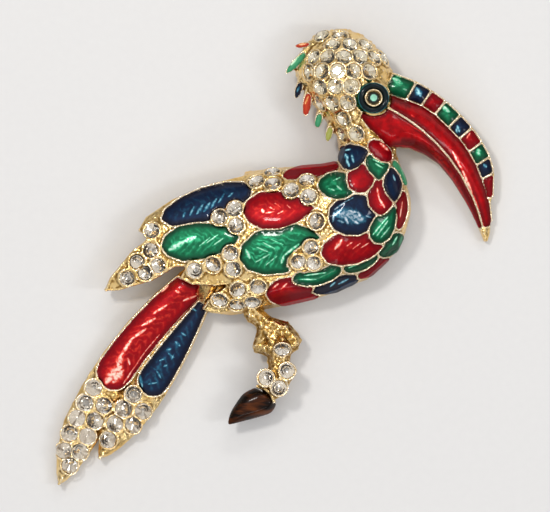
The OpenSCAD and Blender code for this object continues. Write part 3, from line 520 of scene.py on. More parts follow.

# Painted highlights and reflections on the enamel, as strokes on the photograph: [from x, from y, to x, to y, width,
# strength if not 1]
glints = {
    "neck_blue": [[345, 155, 347, 160, 1.6], [346, 160, 348.5, 167, 1.3], [351, 156, 353, 163, 1.1],
                  [345, 151, 350, 150, 0.8]],
    "neck_green": [[372, 160, 383, 165, 0.7], [374, 164, 382, 169, 0.6]],
    "throat_red": [[379.5, 144, 387.5, 151, 1.4]],
    "breast_blue": [[392.5, 175.5, 394.3, 181, 0.9]],
    "chest_red": [[376, 188.5, 378, 199, 0.9], [378, 199, 383.5, 208, 1.2]],
    "edge_red": [[401.7, 202, 399.2, 218, 0.7]],
    "shoulder_green": [[328, 189, 334, 191, 0.8], [336, 186, 341, 191, 0.8], [333, 181, 340, 178, 0.6]],
    "shoulder_blue": [[334, 214, 344, 218, 2.6, 0.6], [344, 216, 347, 224, 1.2], [348, 211, 356, 213, 1.4],
                      [357, 213, 361, 220, 1.3], [352, 221, 358, 224, 1.2], [337, 221, 343, 223, 1.2, 0.7],
                      [332.5, 222, 333, 213, 0.8], [334, 210, 344, 203, 0.7], [345, 202, 353, 198, 0.5, 0.8],
                      [364, 216, 370, 218, 0.7, 0.8], [338, 213, 362, 220, 6.0, 0.66]],
    "chest_green": [[372, 235, 380, 225, 0.8], [376, 236, 387, 221, 0.8], [380, 238, 389, 227, 0.7],
                    [381, 224, 387, 217, 0.7]],
    "belly_edge_green": [[392, 245, 396.5, 237, 0.8]],
    "belly_green": [[348, 268, 362, 262, 0.5]],
    "covert_red": [[334.5, 249, 341, 240, 1.9], [346, 246, 352, 242, 0.7], [352, 249, 360, 243, 0.6],
                   [360, 248, 368, 243, 0.6]],
    "under_green": [[300, 279, 316, 279.5, 0.6], [304, 275.5, 326, 272.5, 0.6]],
    "under_blue": [[330, 286.5, 335, 282, 0.9], [338, 284, 348, 279, 0.9]],
    "under_red": [[273, 288, 279, 283, 0.8], [281, 289, 287, 283, 0.7]],
    "wing_blue": [[183.6, 217, 185, 213, 1.0], [190, 215.7, 194.3, 207, 1.0], [197, 214.3, 203, 205, 1.4],
                  [204.3, 211.4, 210, 203, 1.5], [211.4, 208, 217, 198.6, 1.2], [218.6, 203, 224.3, 194.3, 0.9],
                  [228.6, 197, 233, 193, 1.0]],
    "wing_green": [[170, 249.5, 184, 242, 2.6], [184, 242, 196, 237, 2.2], [207, 243, 218.6, 234.5, 0.6],
                   [200, 246, 210, 238, 0.5], [213, 246, 224, 238, 0.6]],
    "wing_red": [[262.4, 210, 263.6, 212.6, 1.8], [268.6, 207, 274.3, 210, 0.6], [266, 213.5, 274, 212, 0.7],
                 [275, 203.5, 281, 208, 0.5], [277, 214.5, 284, 211, 0.5], [286, 205, 291, 209, 0.4]],
    "wing_leaf_green": [[281.4, 263, 283.6, 255.7, 1.3], [283.6, 255.7, 298.6, 244.3, 1.1],
                        [246, 250, 250, 258, 1.6], [256, 247, 268, 252, 0.6], [262, 242, 275, 249, 0.6],
                        [256, 262, 270, 254, 0.6], [270, 239, 283, 245, 0.6], [266, 265, 277, 256, 0.5]],
    "tail_red": [[160.8, 292, 168, 285.5, 1.2], [175.7, 291, 180, 293, 1.2], [183, 300.8, 196, 295.7, 1.1],
                 [152.7, 314, 166.6, 305.2, 1.2], [141.7, 325.7, 155, 318.4, 1.4], [131.4, 339, 146, 328.7, 1.4],
                 [121.2, 355, 131.4, 339, 1.8], [117, 367, 121.2, 355, 3.0], [106, 382, 120, 367, 5.0],
                 [113, 382, 122, 371, 3.6], [123, 384, 131.4, 371.2, 0.8], [131.4, 371.2, 144.6, 352, 0.6],
                 [144.6, 352, 159.3, 334.5, 0.5], [127, 358, 129.5, 365, 1.0]],
    "tail_blue": [[181.3, 333, 185.7, 336, 1.0], [175.4, 341.8, 179.8, 346.2, 1.2], [166.6, 350, 171, 349.2, 0.9],
                  [168, 353.6, 174, 358, 0.8], [159.3, 361, 163.7, 359.4, 1.0], [163.7, 366.8, 166.6, 365.3, 1.1],
                  [156.4, 371.2, 160.8, 378.5, 0.9], [147.6, 384.4, 156.4, 383, 0.8], [139.5, 376, 142, 387, 1.2],
                  [191, 308, 196, 311, 0.9], [171, 360, 174, 354, 0.7]],
    "beak_upper_red": [[395, 104, 418, 116, 3.4, 0.2], [418, 116, 442, 137, 3.4, 0.2], [442, 137, 462, 165, 3.0, 0.2],
                       [462, 165, 476, 200, 2.4, 0.2], [410, 116, 413, 118, 0.8, 0.6], [452, 152, 462, 170, 1.3],
                       [462, 170, 472, 193, 1.5], [472, 193, 480, 215, 1.5], [480, 215, 485, 232, 1.3]],
    "beak_lower_red": [[366, 117, 383, 121, 4.0, 0.2], [398, 127, 425, 142, 4.0, 0.22], [425, 142, 447, 166, 4.0, 0.22],
                       [447, 166, 463, 195, 3.6, 0.22], [463, 195, 475, 220, 2.2, 0.2],
                       [400, 121, 430, 138, 0.5, 0.5]],
    "casque_green_1": [[393, 79, 401, 84, 2.2, 0.8], [396, 76, 402, 77, 1.2]],
    "casque_blue_1": [[416, 89, 420, 96, 2.6], [417, 90, 418.5, 93, 0.8]],
    "casque_green_2": [[443, 108, 449, 112, 2.0, 0.8], [443, 106, 447, 109, 0.9]],
    "casque_blue_2": [[457, 126, 459.5, 132, 1.4, 0.9], [456, 129, 457, 133, 0.7]],
    "casque_red_2": [[470, 133, 467, 138, 0.9]],
    "casque_green_3": [[477, 150, 480, 155, 1.6, 0.8], [478, 149, 481, 151, 0.8]],
    "casque_blue_3": [[484, 164, 487, 167, 1.1, 0.9]],
    "crest_green": [[291, 65, 300, 53, 1.3, 0.9]],
    "crest_orange": [[299, 45, 306, 44, 0.8, 0.7]],
    "crest_red": [[305, 104, 308, 97, 0.9, 0.7]],
    "crest_blue": [[297, 92, 299, 87, 0.9, 0.6]],
}
glintShape = {"width": 1.2, "taper": 0.55, "reach": 2.2}
dimGlints = {"wing_blue": 0.72, "tail_blue": 0.72, "under_blue": 0.8}


def glintsOn(bm, node):
    paintedHighlight = [0.0] * len(bm.verts)
    for x0, y0, x1, y1, width, *strength in glints.get(node, []):
        start, end = atPixel(x0, y0), atPixel(x1, y1)
        along = end - start
        reach = width * glintShape["width"] * photo["pixel"] * mm
        strong = (strength or [1.0])[0] * dimGlints.get(node, 1.0)
        for v in bm.verts:
            p = v.co.xy - start
            t = min(1.0, max(0.0, p.dot(along) / along.length_squared))
            d = (p - along * t).length / (reach * (1.0 - glintShape["taper"] * abs(2 * t - 1) ** 2))
            if d < glintShape["reach"]:
                paintedHighlight[v.index] = max(paintedHighlight[v.index], math.exp(-d * d) * strong)
    return paintedHighlight


def mapFeather(mesh, points):
    # the UV runs the long way of the cell, turned the way that the feathers point
    spread = np.linalg.eigh(np.cov((points - points.mean(0)).T))[1][:, 1]
    angle = math.atan2(spread[1], spread[0])
    if math.cos(angle - cellShape["feathersDown"]) < 0:
        angle += math.pi
    featherMap(mesh, (points.max(0) + points.min(0)) / 2, angle)


def cushionCell(node):
    kind = node.split("_")[0]
    grow = cellShape.get(kind + "Grow", cellShape["grow"]) * mm
    cushion = cellShape.get(kind + "Cushion", cellShape["cushion"])
    obj = toObject(copyNode(node), node + "_enamel")
    remesh(obj, cellShape["voxel"] * mm)
    bm = opened(obj)
    walls = kdtree.KDTree(len(bm.verts))
    for v in bm.verts:
        if abs(v.normal.z) < cellShape["upright"]:
            walls.insert((v.co.x, v.co.y, 0), v.index)
    walls.balance()
    bm.verts.ensure_lookup_table()
    top = [v.index for v in bm.verts if v.normal.z >= cellShape["topFacing"]]
    inset = [0.0] * len(bm.verts)  # how far a point of the top is from the cell's edge, in mm
    for k in top:
        inset[k] = (walls.find((bm.verts[k].co.x, bm.verts[k].co.y, 0))[2] or mm) / mm
    bm.free()
    settle(obj, [k for k in top if inset[k] > cellShape["edgeKept"]], cellShape["settle"])
    bm = opened(obj)
    bm.verts.ensure_lookup_table()
    for k in top:
        d = inset[k] / cellShape["cushionWidth"]
        bm.verts[k].co.z += (cushion * (1 - math.exp(-d * d)) - cellShape["rim"]) * mm
    bm.normal_update()
    for v in bm.verts:  # the walls move out to meet the metal, to make up for the rounding
        out = Vector((v.normal.x, v.normal.y, 0))
        v.co += out * out.length * grow * (1.0 if v.normal.z < 0.5 else cellShape["growTop"])
    relax(bm, cellShape["relax"], cellShape["round"])
    if kind != "crest":
        for v in bm.verts:
            leaveRim(v)
    keepInside(bm)
    # how strongly each point carries a painted highlight or reflection
    paintedHighlight = glintsOn(bm, node)
    points = np.array([v.co.xy for v in bm.verts]) / mm
    closeInto(obj, bm)
    floatAttribute(obj.data, "inset", inset)
    floatAttribute(obj.data, "paintedHighlight", paintedHighlight)
    floatAttribute(obj.data, "veining", veining.get(node, cellShape["plainVeining"]))
    mapFeather(obj.data, points)
    key = finish.get(node) or next(k for k in ("red", "green", "blue") if k in node.split("_"))
    finishPiece(obj, node, enamelMats[key])
    return obj


enamelNodes = [n for n, s in slotOf.items() if s.startswith("enamel_") and n != "eye_ring"]
cells = {node: cushionCell(node) for node in enamelNodes}
print("enamel cells", len(cells), "with", sum(len(o.data.polygons) for o in cells.values()), "faces")


# Stones: table, star, kite and girdle facets over a foiled pavilion
stoneCut = {"table": 0.56, "star": 0.78, "starUp": 0.62, "crown": 0.28, "girdle": 0.05, "waist": 0.52, "culet": 0.08,
            "pavilion": (0.40, 0.53), "tilt": 11.0, "tailTilt": 15.0, "lift": 0.06, "apart": 0.02,
            "shade": 0.8, "rarity": 8.0, "tailRarity": 3.0}  # how dark the foil's painted dark reflections are, and how rare
stoneSize = {"head_stones": 1.16, "wing_stones": 1.20, "tail_stones": 1.17, "leg_stones": 1.14, "eye_stone": 1.09}
eye = {"ringOut": 2.6, "ringIn": 1.55, "bulge": 0.45, "rimHighlight": 2.45, "cupOut": 1.5, "cupIn": 1.2, "turns": 48}
eyeLow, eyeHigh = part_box("eye_ring")
eyeAt = Vector(((eyeLow.x + eyeHigh.x) / 2, (eyeLow.y + eyeHigh.y) / 2, 0))


def cutStone(bm, centre, axis, radius, turn, pavilion):
    # rings from the table down to the culet: [share of the radius, height, points, half a facet's turn or none]
    crown, girdle = stoneCut["crown"], stoneCut["girdle"]
    rings = [(stoneCut["table"], crown, 8, 0.0), (stoneCut["star"], crown * stoneCut["starUp"], 8, 0.5),
             (1.0, girdle, 16, 0.0), (1.0, -girdle, 16, 0.0),
             (stoneCut["waist"], -pavilion * 0.5, 8, 0.5), (stoneCut["culet"], -pavilion, 8, 0.0)]
    spin = upright(centre, axis, turn)
    body = []
    for share, height, count, half in rings:
        turned = Matrix.Rotation(half * 2 * math.pi / count, 4, "Z")
        made = bmesh.ops.create_circle(bm, cap_ends=False, segments=count, radius=share * radius,
                                       matrix=spin @ Matrix.Translation((0, 0, height * radius)) @ turned)
        body += made["verts"]
    for v in body:
        for e in list(v.link_edges):
            bm.edges.remove(e)
    hull = bmesh.ops.convex_hull(bm, input=body, use_existing_faces=False)
    faces = [f for f in hull["geom"] if isinstance(f, bmesh.types.BMFace)]
    bmesh.ops.recalc_face_normals(bm, faces=faces)
    for f in faces:  # foil under the girdle, and the eye stone's lit colour on the table
        f.smooth = False
        height = (f.calc_center_median() - centre).dot(axis) / radius
        f.material_index = 1 if height < girdle * 0.5 else 2 if height > crown * 0.98 else 0


def stoneField(node, look):
    rng = random.Random(node)
    bm = bmesh.new()
    here, isEye, isTail = seatsOf[node], node == "eye_stone", node == "tail_stones"
    if isEye:
        here = [(Vector((eyeAt.x, eyeAt.y, here[0][0].z)), Vector((0, 0, 1)), here[0][2])]
    for centre, axis, radius in here:
        # as large as its field's stones are, and a hair smaller than the way to its neighbour
        room = min([(centre - other[0]).length / 2 for other in here if other[0] != centre] + [radius * 2])
        size = min(radius * stoneSize[node], room - stoneCut["apart"] * mm)
        lean = axis
        if not isEye:
            tilt = math.radians(rng.uniform(0, stoneCut["tailTilt" if isTail else "tilt"]))
            lean = Matrix.Rotation(tilt, 3, axis.orthogonal().normalized()) @ axis
        lean = Matrix.Rotation(rng.uniform(0, 2 * math.pi), 3, axis) @ lean
        cutStone(bm, centre + axis * stoneCut["lift"] * mm, lean, size, rng.uniform(0, math.pi / 4),
                 rng.uniform(*stoneCut["pavilion"]))
    bmesh.ops.dissolve_limit(bm, angle_limit=0.01, verts=bm.verts, edges=bm.edges, delimit={"MATERIAL"})
    obj = toObject(bm, node + "_cut", smooth=False)
    tone = obj.data.attributes.new("tone", "FLOAT", "FACE")  # each facet of the foil is darkened at random, as painted dark reflections
    rarity = stoneCut["tailRarity" if isTail else "rarity"]
    tone.data.foreach_set("value", [1 - stoneCut["shade"] * rng.random() ** rarity for face in obj.data.polygons])
    for material in (glassMats[look], foilMats[look], tableMat if isEye else glassMats[look]):
        obj.data.materials.append(material)
    handOver(obj, node)


for node, look in [*stoneLook.items(), ("eye_stone", "mint")]:
    stoneField(node, look)
print("stones", len(seats) + 1)

# Gold casting: the CAD casting with rims and beads round the stones, a nuggety leg and quill lines,
# fused in fine voxels, then raised beside the enamel
casting = {"voxel": 0.17, "settle": 1, "relax": 0.4, "rimTube": 0.18, "rimOut": 0.32, "rimUp": 0.10, "mouth": 0.5,
           "seed": 7, "faces": 195000, "above": 1.2, "wireUp": 0.08, "wireReach": 0.4, "under": 0.12, "deep": 0.7,
           "seatZone": 1.25, "seat": 1.04, "clear": 0.12, "bend": 0.03,
           "legTop": 316, "legSide": 225, "legDarkness": 0.22}  # the leg's corner on the photograph, and how much darker and rougher the leg is made
edgeWire = {"radius": 0.15, "lift": 0.06, "inwards": 0.22, "atMouth": 1.3, "flat": 0.3, "corner": 48, "above": 1.8,
            "fromStone": 0.55, "fromEye": 2.9, "fromCrest": 0.5}
bead = {"size": 0.25, "vary": (0.8, 1.15), "side": 0.64, "up": 0.22, "between": 1.1}
nugget = {"count": 130, "size": (0.28, 0.6), "vary": (0.8, 1.35), "flat": 0.85, "sink": 0.35, "apart": 0.55,
          "left": 3.5, "right": 2.5, "below": 2.5, "over": 6.5, "fromStone": 0.25, "fromClaw": 4, "above": 1.6}
granule = {"count": 900, "size": 0.25, "vary": (0.75, 1.15), "sink": 0.3, "apart": 0.62, "room": 0.42, "above": 1.6,
           "flat": 0.2, "flatOnHead": 0.04, "headScale": 1.6, "headSide": 2, "fromEye": 3.2}
collar = {"count": 40, "radius": 2.78, "outer": 0.6, "step": 0.25, "size": (0.24, 0.32), "tall": 1.5}
crestLip = {"scale": (1.16, 1.12, 1.0), "down": 0.26}
quill = {"count": 5, "top": (214, 281), "topStep": (-3.2, 0.6), "foot": (203, 304), "footStep": (-2.2, -1.5),
         "radii": (0.2, 0.12)}
barb = {"top": (392, 149), "foot": (395, 158), "level": 6.5, "drop": 0.4, "radii": (0.75, 0.2)}
clawBand = {"points": [(256, 386), (265, 388.5), (271, 394), (274.5, 403)], "below": 0.5, "radius": 0.35}


def toSeat(p):  # distance from a point to the nearest stone's girdle
    at, k, gap = pits.find(p)
    return gap - seats[k][2]


def cellTree(names):
    every = bmesh.new()
    for name in names:
        every.from_mesh(cells[name].data)
    tree = BVHTree.FromBMesh(every)
    every.free()
    return tree


allCells = cellTree(cells)
beakHalves = [cellTree([name]) for name in ("beak_lower_red", "beak_upper_red")]
crestCells = cellTree([name for name in cells if name.startswith("crest_")])


def fromEye(p):
    return (p.xy - eyeAt.xy).length


def nearTo(tree, p, reach):
    return tree.find_nearest(p, reach)[0] is not None


def atMouth(p):  # on the thin line between the beak's halves
    return all(nearTo(half, p, casting["mouth"] * mm) for half in beakHalves)


def makeRing(bm, seat):
    centre, axis, radius = seat
    ring = bmesh.new()
    tube = Matrix.Translation((radius + casting["rimOut"] * mm, 0, 0)) @ Matrix.Rotation(math.pi / 2, 4, "X")
    bmesh.ops.create_circle(ring, cap_ends=False, segments=8, radius=casting["rimTube"] * mm, matrix=tube)
    bmesh.ops.spin(ring, geom=ring.verts[:] + ring.edges[:], cent=(0, 0, 0), axis=(0, 0, 1), angle=2 * math.pi,
                   steps=24, use_merge=True)
    bmesh.ops.transform(ring, matrix=upright(centre + axis * casting["rimUp"] * mm, axis), verts=ring.verts)
    pour(bm, ring)


def makeGrain(bm, grain):
    at, size, spread = grain
    matrix = Matrix.Translation(at) @ Matrix.Diagonal(spread)
    bmesh.ops.create_icosphere(bm, subdivisions=1, radius=size, matrix=matrix)


def makeRod(bm, rod):
    start, end, thick, thin = rod
    bmesh.ops.create_cone(bm, cap_ends=True, segments=8, radius1=thick, radius2=thin, depth=(end - start).length,
                          matrix=upright((start + end) / 2, end - start))


def fallsOn(tree, x, y):
    return tree.ray_cast(Vector((x, y, 0.1)), Vector((0, 0, -1)))


def edgeWires(bm):
    # a round wire along every edge where the top of the metal ends, set in by its own radius
    rods, knots = [], []
    radius = edgeWire["radius"] * mm
    for e in bm.edges:
        if len(e.link_faces) != 2 or not e.is_convex:
            continue
        low, high = sorted(e.link_faces, key=lambda f: f.normal.z)
        middle = (e.verts[0].co + e.verts[1].co) / 2
        if high.normal.z < edgeWire["flat"] or low.normal.angle(high.normal) < math.radians(edgeWire["corner"]):
            continue
        if middle.z < edgeWire["above"] * mm or toSeat(middle) < edgeWire["fromStone"] * mm:
            continue
        if fromEye(middle) < edgeWire["fromEye"] * mm or nearTo(crestCells, middle, edgeWire["fromCrest"] * mm):
            continue
        inwards = edgeWire["inwards"] * (edgeWire["atMouth"] if atMouth(middle) else 1.0)
        shift = high.normal * edgeWire["lift"] * mm - low.normal * inwards * mm
        ends = [v.co + shift for v in e.verts]
        rods.append((*ends, radius, radius))
        knots += [(end, radius, (1, 1, 1, 1)) for end in ends]
    return rods, knots


def beads(rng):
    # a bead of metal on both sides of each pair of close stones
    found = []
    for i, a in enumerate(seats):
        for b in seats[i + 1:]:
            if (a[0] - b[0]).length - a[2] - b[2] < bead["between"] * mm:
                side = (b[0] - a[0]).cross(a[1]).normalized()
                for s in (-1, 1):
                    at = (a[0] + b[0]) / 2 + side * s * bead["side"] * mm + a[1] * bead["up"] * mm
                    found.append((at, bead["size"] * rng.uniform(*bead["vary"]) * mm, (1, 1, 1, 1)))
    return found


def nuggets(tree, rng):
    # rough lumps that the leg is built up of
    low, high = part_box("leg_stones")
    top = atPixel(0, casting["legTop"]).y
    found = []
    for tries in range(6000):
        if len(found) == nugget["count"]:
            break
        x = rng.uniform(low.x - nugget["left"] * mm, high.x + nugget["right"] * mm)
        y = rng.uniform(low.y - nugget["below"] * mm, high.y + nugget["over"] * mm)
        hit, normal, index, far = fallsOn(tree, x, y)
        size = rng.uniform(*nugget["size"]) * mm
        if not hit or y > top or toSeat(hit) < nugget["fromStone"] * mm or not nearLeg(hit):
            continue
        if any((hit - old[0]).length < (size + old[1]) * nugget["apart"] for old in found):
            continue
        spread = (rng.uniform(*nugget["vary"]), rng.uniform(*nugget["vary"]), nugget["flat"], 1)
        found.append((hit - normal * size * nugget["sink"], size, spread))
    return found


def nearLeg(p):  # clear of the claw and of the edge at the bottom
    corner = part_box("claw")[0].xy
    return (p.xy - corner).length > nugget["fromClaw"] * mm and p.z > nugget["above"] * mm


def granules(tree, rng):
    # small grains on the plain fields of the metal, clear of stones and enamel, and larger ones on the head
    low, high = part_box("gold_casting")
    headLow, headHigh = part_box("head_stones")
    side = granule["headSide"] * mm
    found = []
    for tries in range(60000):
        if len(found) == granule["count"]:
            break
        x, y = rng.uniform(low.x, high.x), rng.uniform(low.y, high.y)
        hit, normal, index, far = fallsOn(tree, x, y)
        onHead = headLow.x - side < x < headHigh.x + side and y > headLow.y
        if not hit or normal.z < granule["flatOnHead" if onHead else "flat"] or hit.z < granule["above"] * mm:
            continue
        scale = granule["headScale"] if onHead else 1.0
        room = granule["room"] * scale * mm
        if toSeat(hit) < room or nearTo(allCells, hit, room) or (onHead and fromEye(hit) < granule["fromEye"] * mm):
            continue
        if any((hit - old[0]).length < granule["apart"] * scale * mm for old in found):
            continue
        size = granule["size"] * scale * rng.uniform(*granule["vary"]) * mm
        found.append((hit - normal * size * granule["sink"], size, (1, 1, 1, 1)))
    return found


def eyeCollar(tree, rng):
    # grains that fill the eye's pocket where the metal outside stands higher
    found = []
    for k in range(collar["count"]):
        angle = k * 2 * math.pi / collar["count"]
        way = Vector((math.cos(angle), math.sin(angle)))
        spots = [eyeAt.xy + way * r * mm for r in (collar["radius"], collar["radius"] + collar["outer"])]
        low, high = (fallsOn(tree, spot.x, spot.y)[0] for spot in spots)
        if low and high and high.z - low.z > collar["step"] * mm:
            size = rng.uniform(*collar["size"]) * mm
            found.append((Vector((spots[0].x, spots[0].y, high.z - size)), size, (1, 1, collar["tall"], 1)))
    return found


def crestLips(dress):
    # a thin gold lip round each feather of the crest
    for node in cells:
        if node.startswith("crest_"):
            lip = copyNode(node)
            low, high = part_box(node)
            middle = (low + high) / 2
            bmesh.ops.translate(lip, verts=lip.verts, vec=-middle)
            bmesh.ops.scale(lip, verts=lip.verts, vec=crestLip["scale"])
            bmesh.ops.translate(lip, verts=lip.verts, vec=middle - Vector((0, 0, crestLip["down"] * mm)))
            pour(dress, lip)


def stepped(start, step, k):
    return atPixel(start[0] + k * step[0], start[1] + k * step[1])


def quills(tree):
    # the lines of the small gold covert, the barb at the throat and the band above the claw
    rods = []
    thick, thin = (r * mm for r in quill["radii"])
    for k in range(quill["count"]):
        ends = stepped(quill["top"], quill["topStep"], k), stepped(quill["foot"], quill["footStep"], k)
        hits = [fallsOn(tree, p.x, p.y)[0] for p in ends]
        if all(hits):
            rods.append((*hits, thick, thin))
    top, foot = atPixel(*barb["top"]), atPixel(*barb["foot"])
    hit = fallsOn(tree, top.x, top.y)[0]
    level = hit.z if hit else barb["level"] * mm
    thick, thin = (r * mm for r in barb["radii"])
    start, end = top.to_3d() + Vector((0, 0, level)), foot.to_3d() + Vector((0, 0, level - barb["drop"] * mm))
    rods.append((start, end, thick, thin))
    level = Vector((0, 0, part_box("claw")[1].z - clawBand["below"] * mm))
    points = [atPixel(*point).to_3d() + level for point in clawBand["points"]]
    return rods + [(a, b, clawBand["radius"] * mm, clawBand["radius"] * mm) for a, b in zip(points, points[1:])]


def makeCasting():
    rng = random.Random(casting["seed"])
    bm = copyNode("gold_casting")
    tree = BVHTree.FromBMesh(bm)
    dress = bmesh.new()
    inLots(dress, seats, makeRing)
    rods, knots = edgeWires(bm)
    inLots(dress, rods + quills(tree), makeRod)
    grains = knots + beads(rng) + nuggets(tree, rng) + granules(tree, rng) + eyeCollar(tree, rng)
    inLots(dress, grains, makeGrain)
    print("wires", len(rods), "grains", len(grains))
    crestLips(dress)
    pour(bm, dress)
    obj = toObject(bm, "casting")
    remesh(obj, casting["voxel"] * mm)
    return obj


def raiseWires(obj):
    # metal beside an enamel stands a little proud of it; hollows are marked for painted shade, and ridges for a painted
    # highlight
    bm = opened(obj)
    relax(bm, casting["relax"], casting["settle"])
    bm.normal_update()
    reach, under = casting["wireReach"] * mm, casting["under"] * mm
    for v in bm.verts:
        if v.normal.z > 0.1 and v.co.z > casting["above"] * mm:
            over = fallsOn(allCells, v.co.x, v.co.y)[0]
            if over:
                if -under < v.co.z - over.z < casting["deep"] * mm:
                    v.co.z = over.z - under
                continue
            near = allCells.find_nearest(v.co, reach)
            if near[0] is not None and v.normal.z > 0.25 and not atMouth(v.co):
                d = near[3] / reach
                v.co.z += casting["wireUp"] * mm * (1 - d * d)
    bm.normal_update()
    for v in bm.verts:  # a stone's seat stays clear of its foil
        at, k, gap = pits.find(v.co)
        axis, radius = seats[k][1:]
        flat = (v.co - at) - axis * (v.co - at).dot(axis)
        if gap < casting["seatZone"] * radius and flat.length < radius * casting["seat"]:
            v.co -= v.normal * casting["clear"] * mm
    bm.normal_update()
    bend = []
    for v in bm.verts:
        around = sum((e.other_vert(v).co for e in v.link_edges), Vector()) / max(1, len(v.link_edges))
        bend.append((around - v.co).dot(v.normal) / (casting["bend"] * mm))
    keepInside(bm)
    corner = atPixel(casting["legSide"], casting["legTop"])
    # the leg, below and to the right of its corner, is made darker and rougher
    darkerLeg = [casting["legDarkness"] if v.co.y < corner.y and v.co.x > corner.x else 0.0 for v in bm.verts]
    closeInto(obj, bm)
    # hollow holds the painted shade in hollows, plus the leg's darker patch
    floatAttribute(obj.data, "hollow", [max(0.0, b) + old for b, old in zip(bend, darkerLeg)])
    # ridge holds the painted highlight on convex edges and wires
    floatAttribute(obj.data, "ridge", [max(0.0, -b) for b in bend])


goldBody = makeCasting()
raiseWires(goldBody)
if len(goldBody.data.polygons) * 2 > casting["faces"]:
    thin = goldBody.modifiers.new("thin", "DECIMATE")
    thin.ratio = casting["faces"] / (len(goldBody.data.polygons) * 2)
    applyModifiers(goldBody)
finishPiece(goldBody, "gold_casting", goldMat)
print("gold casting", len(goldBody.data.polygons), "faces")

# Eye: a domed dark ring, a gold cup with a rolled rim, and the stone in it
def spunPiece(profile, name):
    bm = bmesh.new()
    verts = [bm.verts.new((r, 0, z)) for r, z in profile]
    edges = [bm.edges.new((verts[i], verts[(i + 1) % len(verts)])) for i in range(len(verts))]
    bmesh.ops.spin(bm, geom=verts + edges, cent=(0, 0, 0), axis=(0, 0, 1), angle=2 * math.pi, steps=eye["turns"],
                   use_merge=True)
    bmesh.ops.remove_doubles(bm, verts=bm.verts, dist=1e-7)
    bmesh.ops.recalc_face_normals(bm, faces=bm.faces)
    bmesh.ops.translate(bm, verts=bm.verts, vec=eyeAt)
    return toObject(bm, name)


def ringProfile(inner, outer, low, high, lift, count=12):
    points = [(outer, low), (outer, high - lift)]
    for k in range(1, count):
        t = k / count
        points.append((outer + (inner - outer) * t, high - lift + lift * math.sin(math.pi * t) ** 0.7))
    return [(r * mm, z) for r, z in points + [(inner, high - lift), (inner, low)]]


ring = ringProfile(eye["ringIn"], eye["ringOut"], eyeLow.z, eyeHigh.z, eye["bulge"] * mm)
eyeRing = spunPiece(ring, "eye_ring_enamel")
rimHighlight = [0.4 if fromEye(v.co) > eye["rimHighlight"] * mm else 0.0 for v in eyeRing.data.vertices]  # a painted highlight along the outer edge
for name, values in (("inset", 0.6), ("veining", 0.0), ("paintedHighlight", rimHighlight)):
    floatAttribute(eyeRing.data, name, values)
featherMap(eyeRing.data, (eyeAt.x / mm, eyeAt.y / mm), 0.0)
finishPiece(eyeRing, "eye_ring", enamelMats["dark"])
cupLow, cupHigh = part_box("eye_bezel")
outer, inner, well = eye["cupOut"] * mm, eye["cupIn"] * mm, cupLow.z + 0.4 * mm
eyeCup = spunPiece([(0.0, cupLow.z), (outer, cupLow.z), (outer, cupHigh.z - 0.15 * mm),
                    ((eye["cupOut"] - 0.08) * mm, cupHigh.z - 0.03 * mm), ((eye["cupOut"] - 0.16) * mm, cupHigh.z),
                    ((eye["cupIn"] + 0.03) * mm, cupHigh.z - 0.08 * mm), (inner, cupHigh.z - 0.25 * mm),
                    (inner, well), (0.0, well)], "eye_cup")
floatAttribute(eyeCup.data, "hollow", 0.0)
# the whole cup takes much of the ridges' painted highlight colour, so it is painted paler
floatAttribute(eyeCup.data, "ridge", 0.8)
finishPiece(eyeCup, "eye_bezel", goldMat)
print("eye done")

# Claw: translucent brown, streaked lengthwise
claw = {"light": (0.105, 0.028, 0.007, 1), "dark": (0.006, 0.003, 0.002, 1), "turn": -50, "stretch": (0.25, 1.1, 0.6),
        "voxel": 0.2, "relax": 0.5, "steps": 45}
clawMat, tree, shader = newTree("brown claw enamel")
streaks = add(tree, "ShaderNodeMapping", Vector=objectMm(tree), Rotation=(0, 0, math.radians(claw["turn"])),
              Scale=claw["stretch"]).outputs[0]
mottle = noise(streaks, 0.6, 3.0, 0.55)
feed(shader, Base_Color=mixColour(ramp(mottle, 0.42, 0.66), claw["dark"], claw["light"]),
     Roughness=ramp(mottle, 0.3, 0.7, 0.35, 0.2), Normal=bumped(mottle, 0.4, 0.05),
     Specular_IOR_Level=0.04, Coat_Weight=0.35, Coat_IOR=1.3, Coat_Roughness=0.12)
clawPiece = toObject(copyNode("claw"), "claw_shell")
remesh(clawPiece, claw["voxel"] * mm)
bm = opened(clawPiece)
relax(bm, claw["relax"], claw["steps"])
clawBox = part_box("claw")
for axis in range(3):  # back to its full size after the rounding
    spread = [v.co[axis] for v in bm.verts]
    scale = (clawBox[1][axis] - clawBox[0][axis]) / (max(spread) - min(spread))
    for v, old in zip(bm.verts, spread):
        v.co[axis] = clawBox[0][axis] + (old - min(spread)) * scale
closeInto(clawPiece, bm)
finishPiece(clawPiece, "claw", clawMat)

# Pin: the CAD piece with softened edges
pin = {"edge": 0.12, "segments": 2, "corner": 50}
pinPiece = toObject(copyNode("pin_finding"), "pin_bar", smooth=False)
soften = pinPiece.modifiers.new("soften", "BEVEL")
soften.width = pin["edge"] * mm
soften.segments = pin["segments"]
soften.limit_method = "ANGLE"
soften.angle_limit = math.radians(pin["corner"])
applyModifiers(pinPiece)
floatAttribute(pinPiece.data, "hollow", 0.0)
floatAttribute(pinPiece.data, "ridge", 0.0)
finishPiece(pinPiece, "pin_finding", goldMat, smooth=False)
print("claw and pin done")

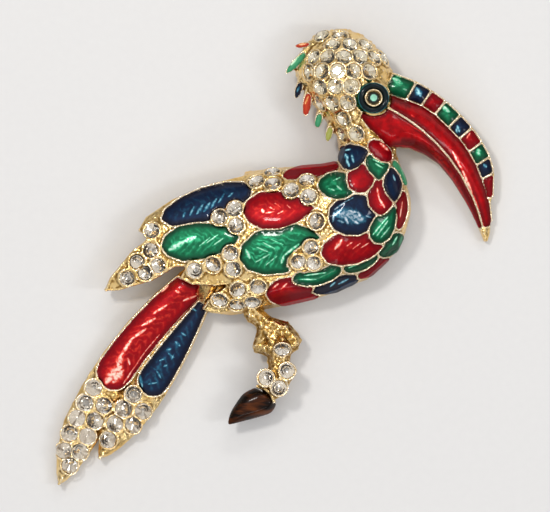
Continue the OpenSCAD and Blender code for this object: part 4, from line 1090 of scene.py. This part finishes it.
# Floor, light and camera
studio = {"floor": (0.70, 0.69, 0.675, 1), "floorSpeck": (0.67, 0.66, 0.648, 1), "floorRough": 0.7, "floorSize": 0.6,
          "worldTop": (0.80, 0.80, 0.815, 1), "worldLow": (0.31, 0.31, 0.32, 1), "horizon": 0.25, "zenith": 0.85,
          "distance": 0.6, "scalePlane": 0.005, "sensor": 36.0}  # the photograph's scale is taken 5 mm up
softboxes = {
    "key softbox": {"at": (-0.16, 0.16, 0.42), "size": (0.07, 0.07), "power": 0.75, "tint": (1.0, 0.98, 0.95)},
    "fill softbox": {"at": (0.30, -0.04, 0.32), "size": (0.06, 0.14), "power": 0.3, "tint": (0.96, 0.98, 1.0)},
    "low strip": {"at": (0.02, -0.36, 0.20), "size": (0.34, 0.05), "power": 0.25, "tint": (1, 1, 1)},
    "top strip": {"at": (0.10, 0.34, 0.28), "size": (0.30, 0.05), "power": 0.3, "tint": (1, 1, 1)},
}
bm = bmesh.new()
bmesh.ops.create_grid(bm, x_segments=1, y_segments=1, size=studio["floorSize"])
floor = toObject(bm, "floor")
floorMat, tree, shader = newTree("pale floor")
speck = noise(objectMm(tree), 0.8, 3.0)
feed(shader, Base_Color=mixColour(speck, studio["floor"], studio["floorSpeck"]),
     Roughness=studio["floorRough"])
floor.data.materials.append(floorMat)

world = bpy.context.scene.world or bpy.data.worlds.new("studio")
bpy.context.scene.world = world
world.use_nodes = True
tree = world.node_tree
sky = tree.nodes.new("ShaderNodeTexCoord").outputs["Generated"]
up = ramp(add(tree, "ShaderNodeSeparateXYZ", Vector=sky).outputs["Z"], studio["horizon"], studio["zenith"])
feed(tree.nodes["Background"], Color=mixColour(up, studio["worldLow"], studio["worldTop"]), Strength=1.0)


def softbox(name, spec):
    light = bpy.data.lights.new(name, "AREA")
    light.shape = "ELLIPSE"
    light.size, light.size_y = spec["size"]
    light.energy = spec["power"]
    light.color = spec["tint"]
    obj = bpy.data.objects.new(name, light)
    obj.location = spec["at"]
    obj.rotation_euler = (-Vector(spec["at"])).to_track_quat("-Z", "Y").to_euler()  # it points at the middle
    bpy.context.scene.collection.objects.link(obj)


for name, spec in softboxes.items():
    softbox(name, spec)

view = bpy.data.cameras.new("camera")
camera = bpy.data.objects.new("camera", view)
bpy.context.scene.collection.objects.link(camera)
centre = atPixel(photo["width"] / 2, photo["height"] / 2)
camera.location = (centre.x, centre.y, studio["distance"] + studio["scalePlane"])
view.sensor_fit = "HORIZONTAL"
view.sensor_width = studio["sensor"]
view.lens = studio["sensor"] * studio["distance"] / (photo["width"] * photo["pixel"] * mm)
view.clip_start = 0.01
bpy.context.scene.camera = camera
bpy.context.scene.view_settings.view_transform = "Standard"
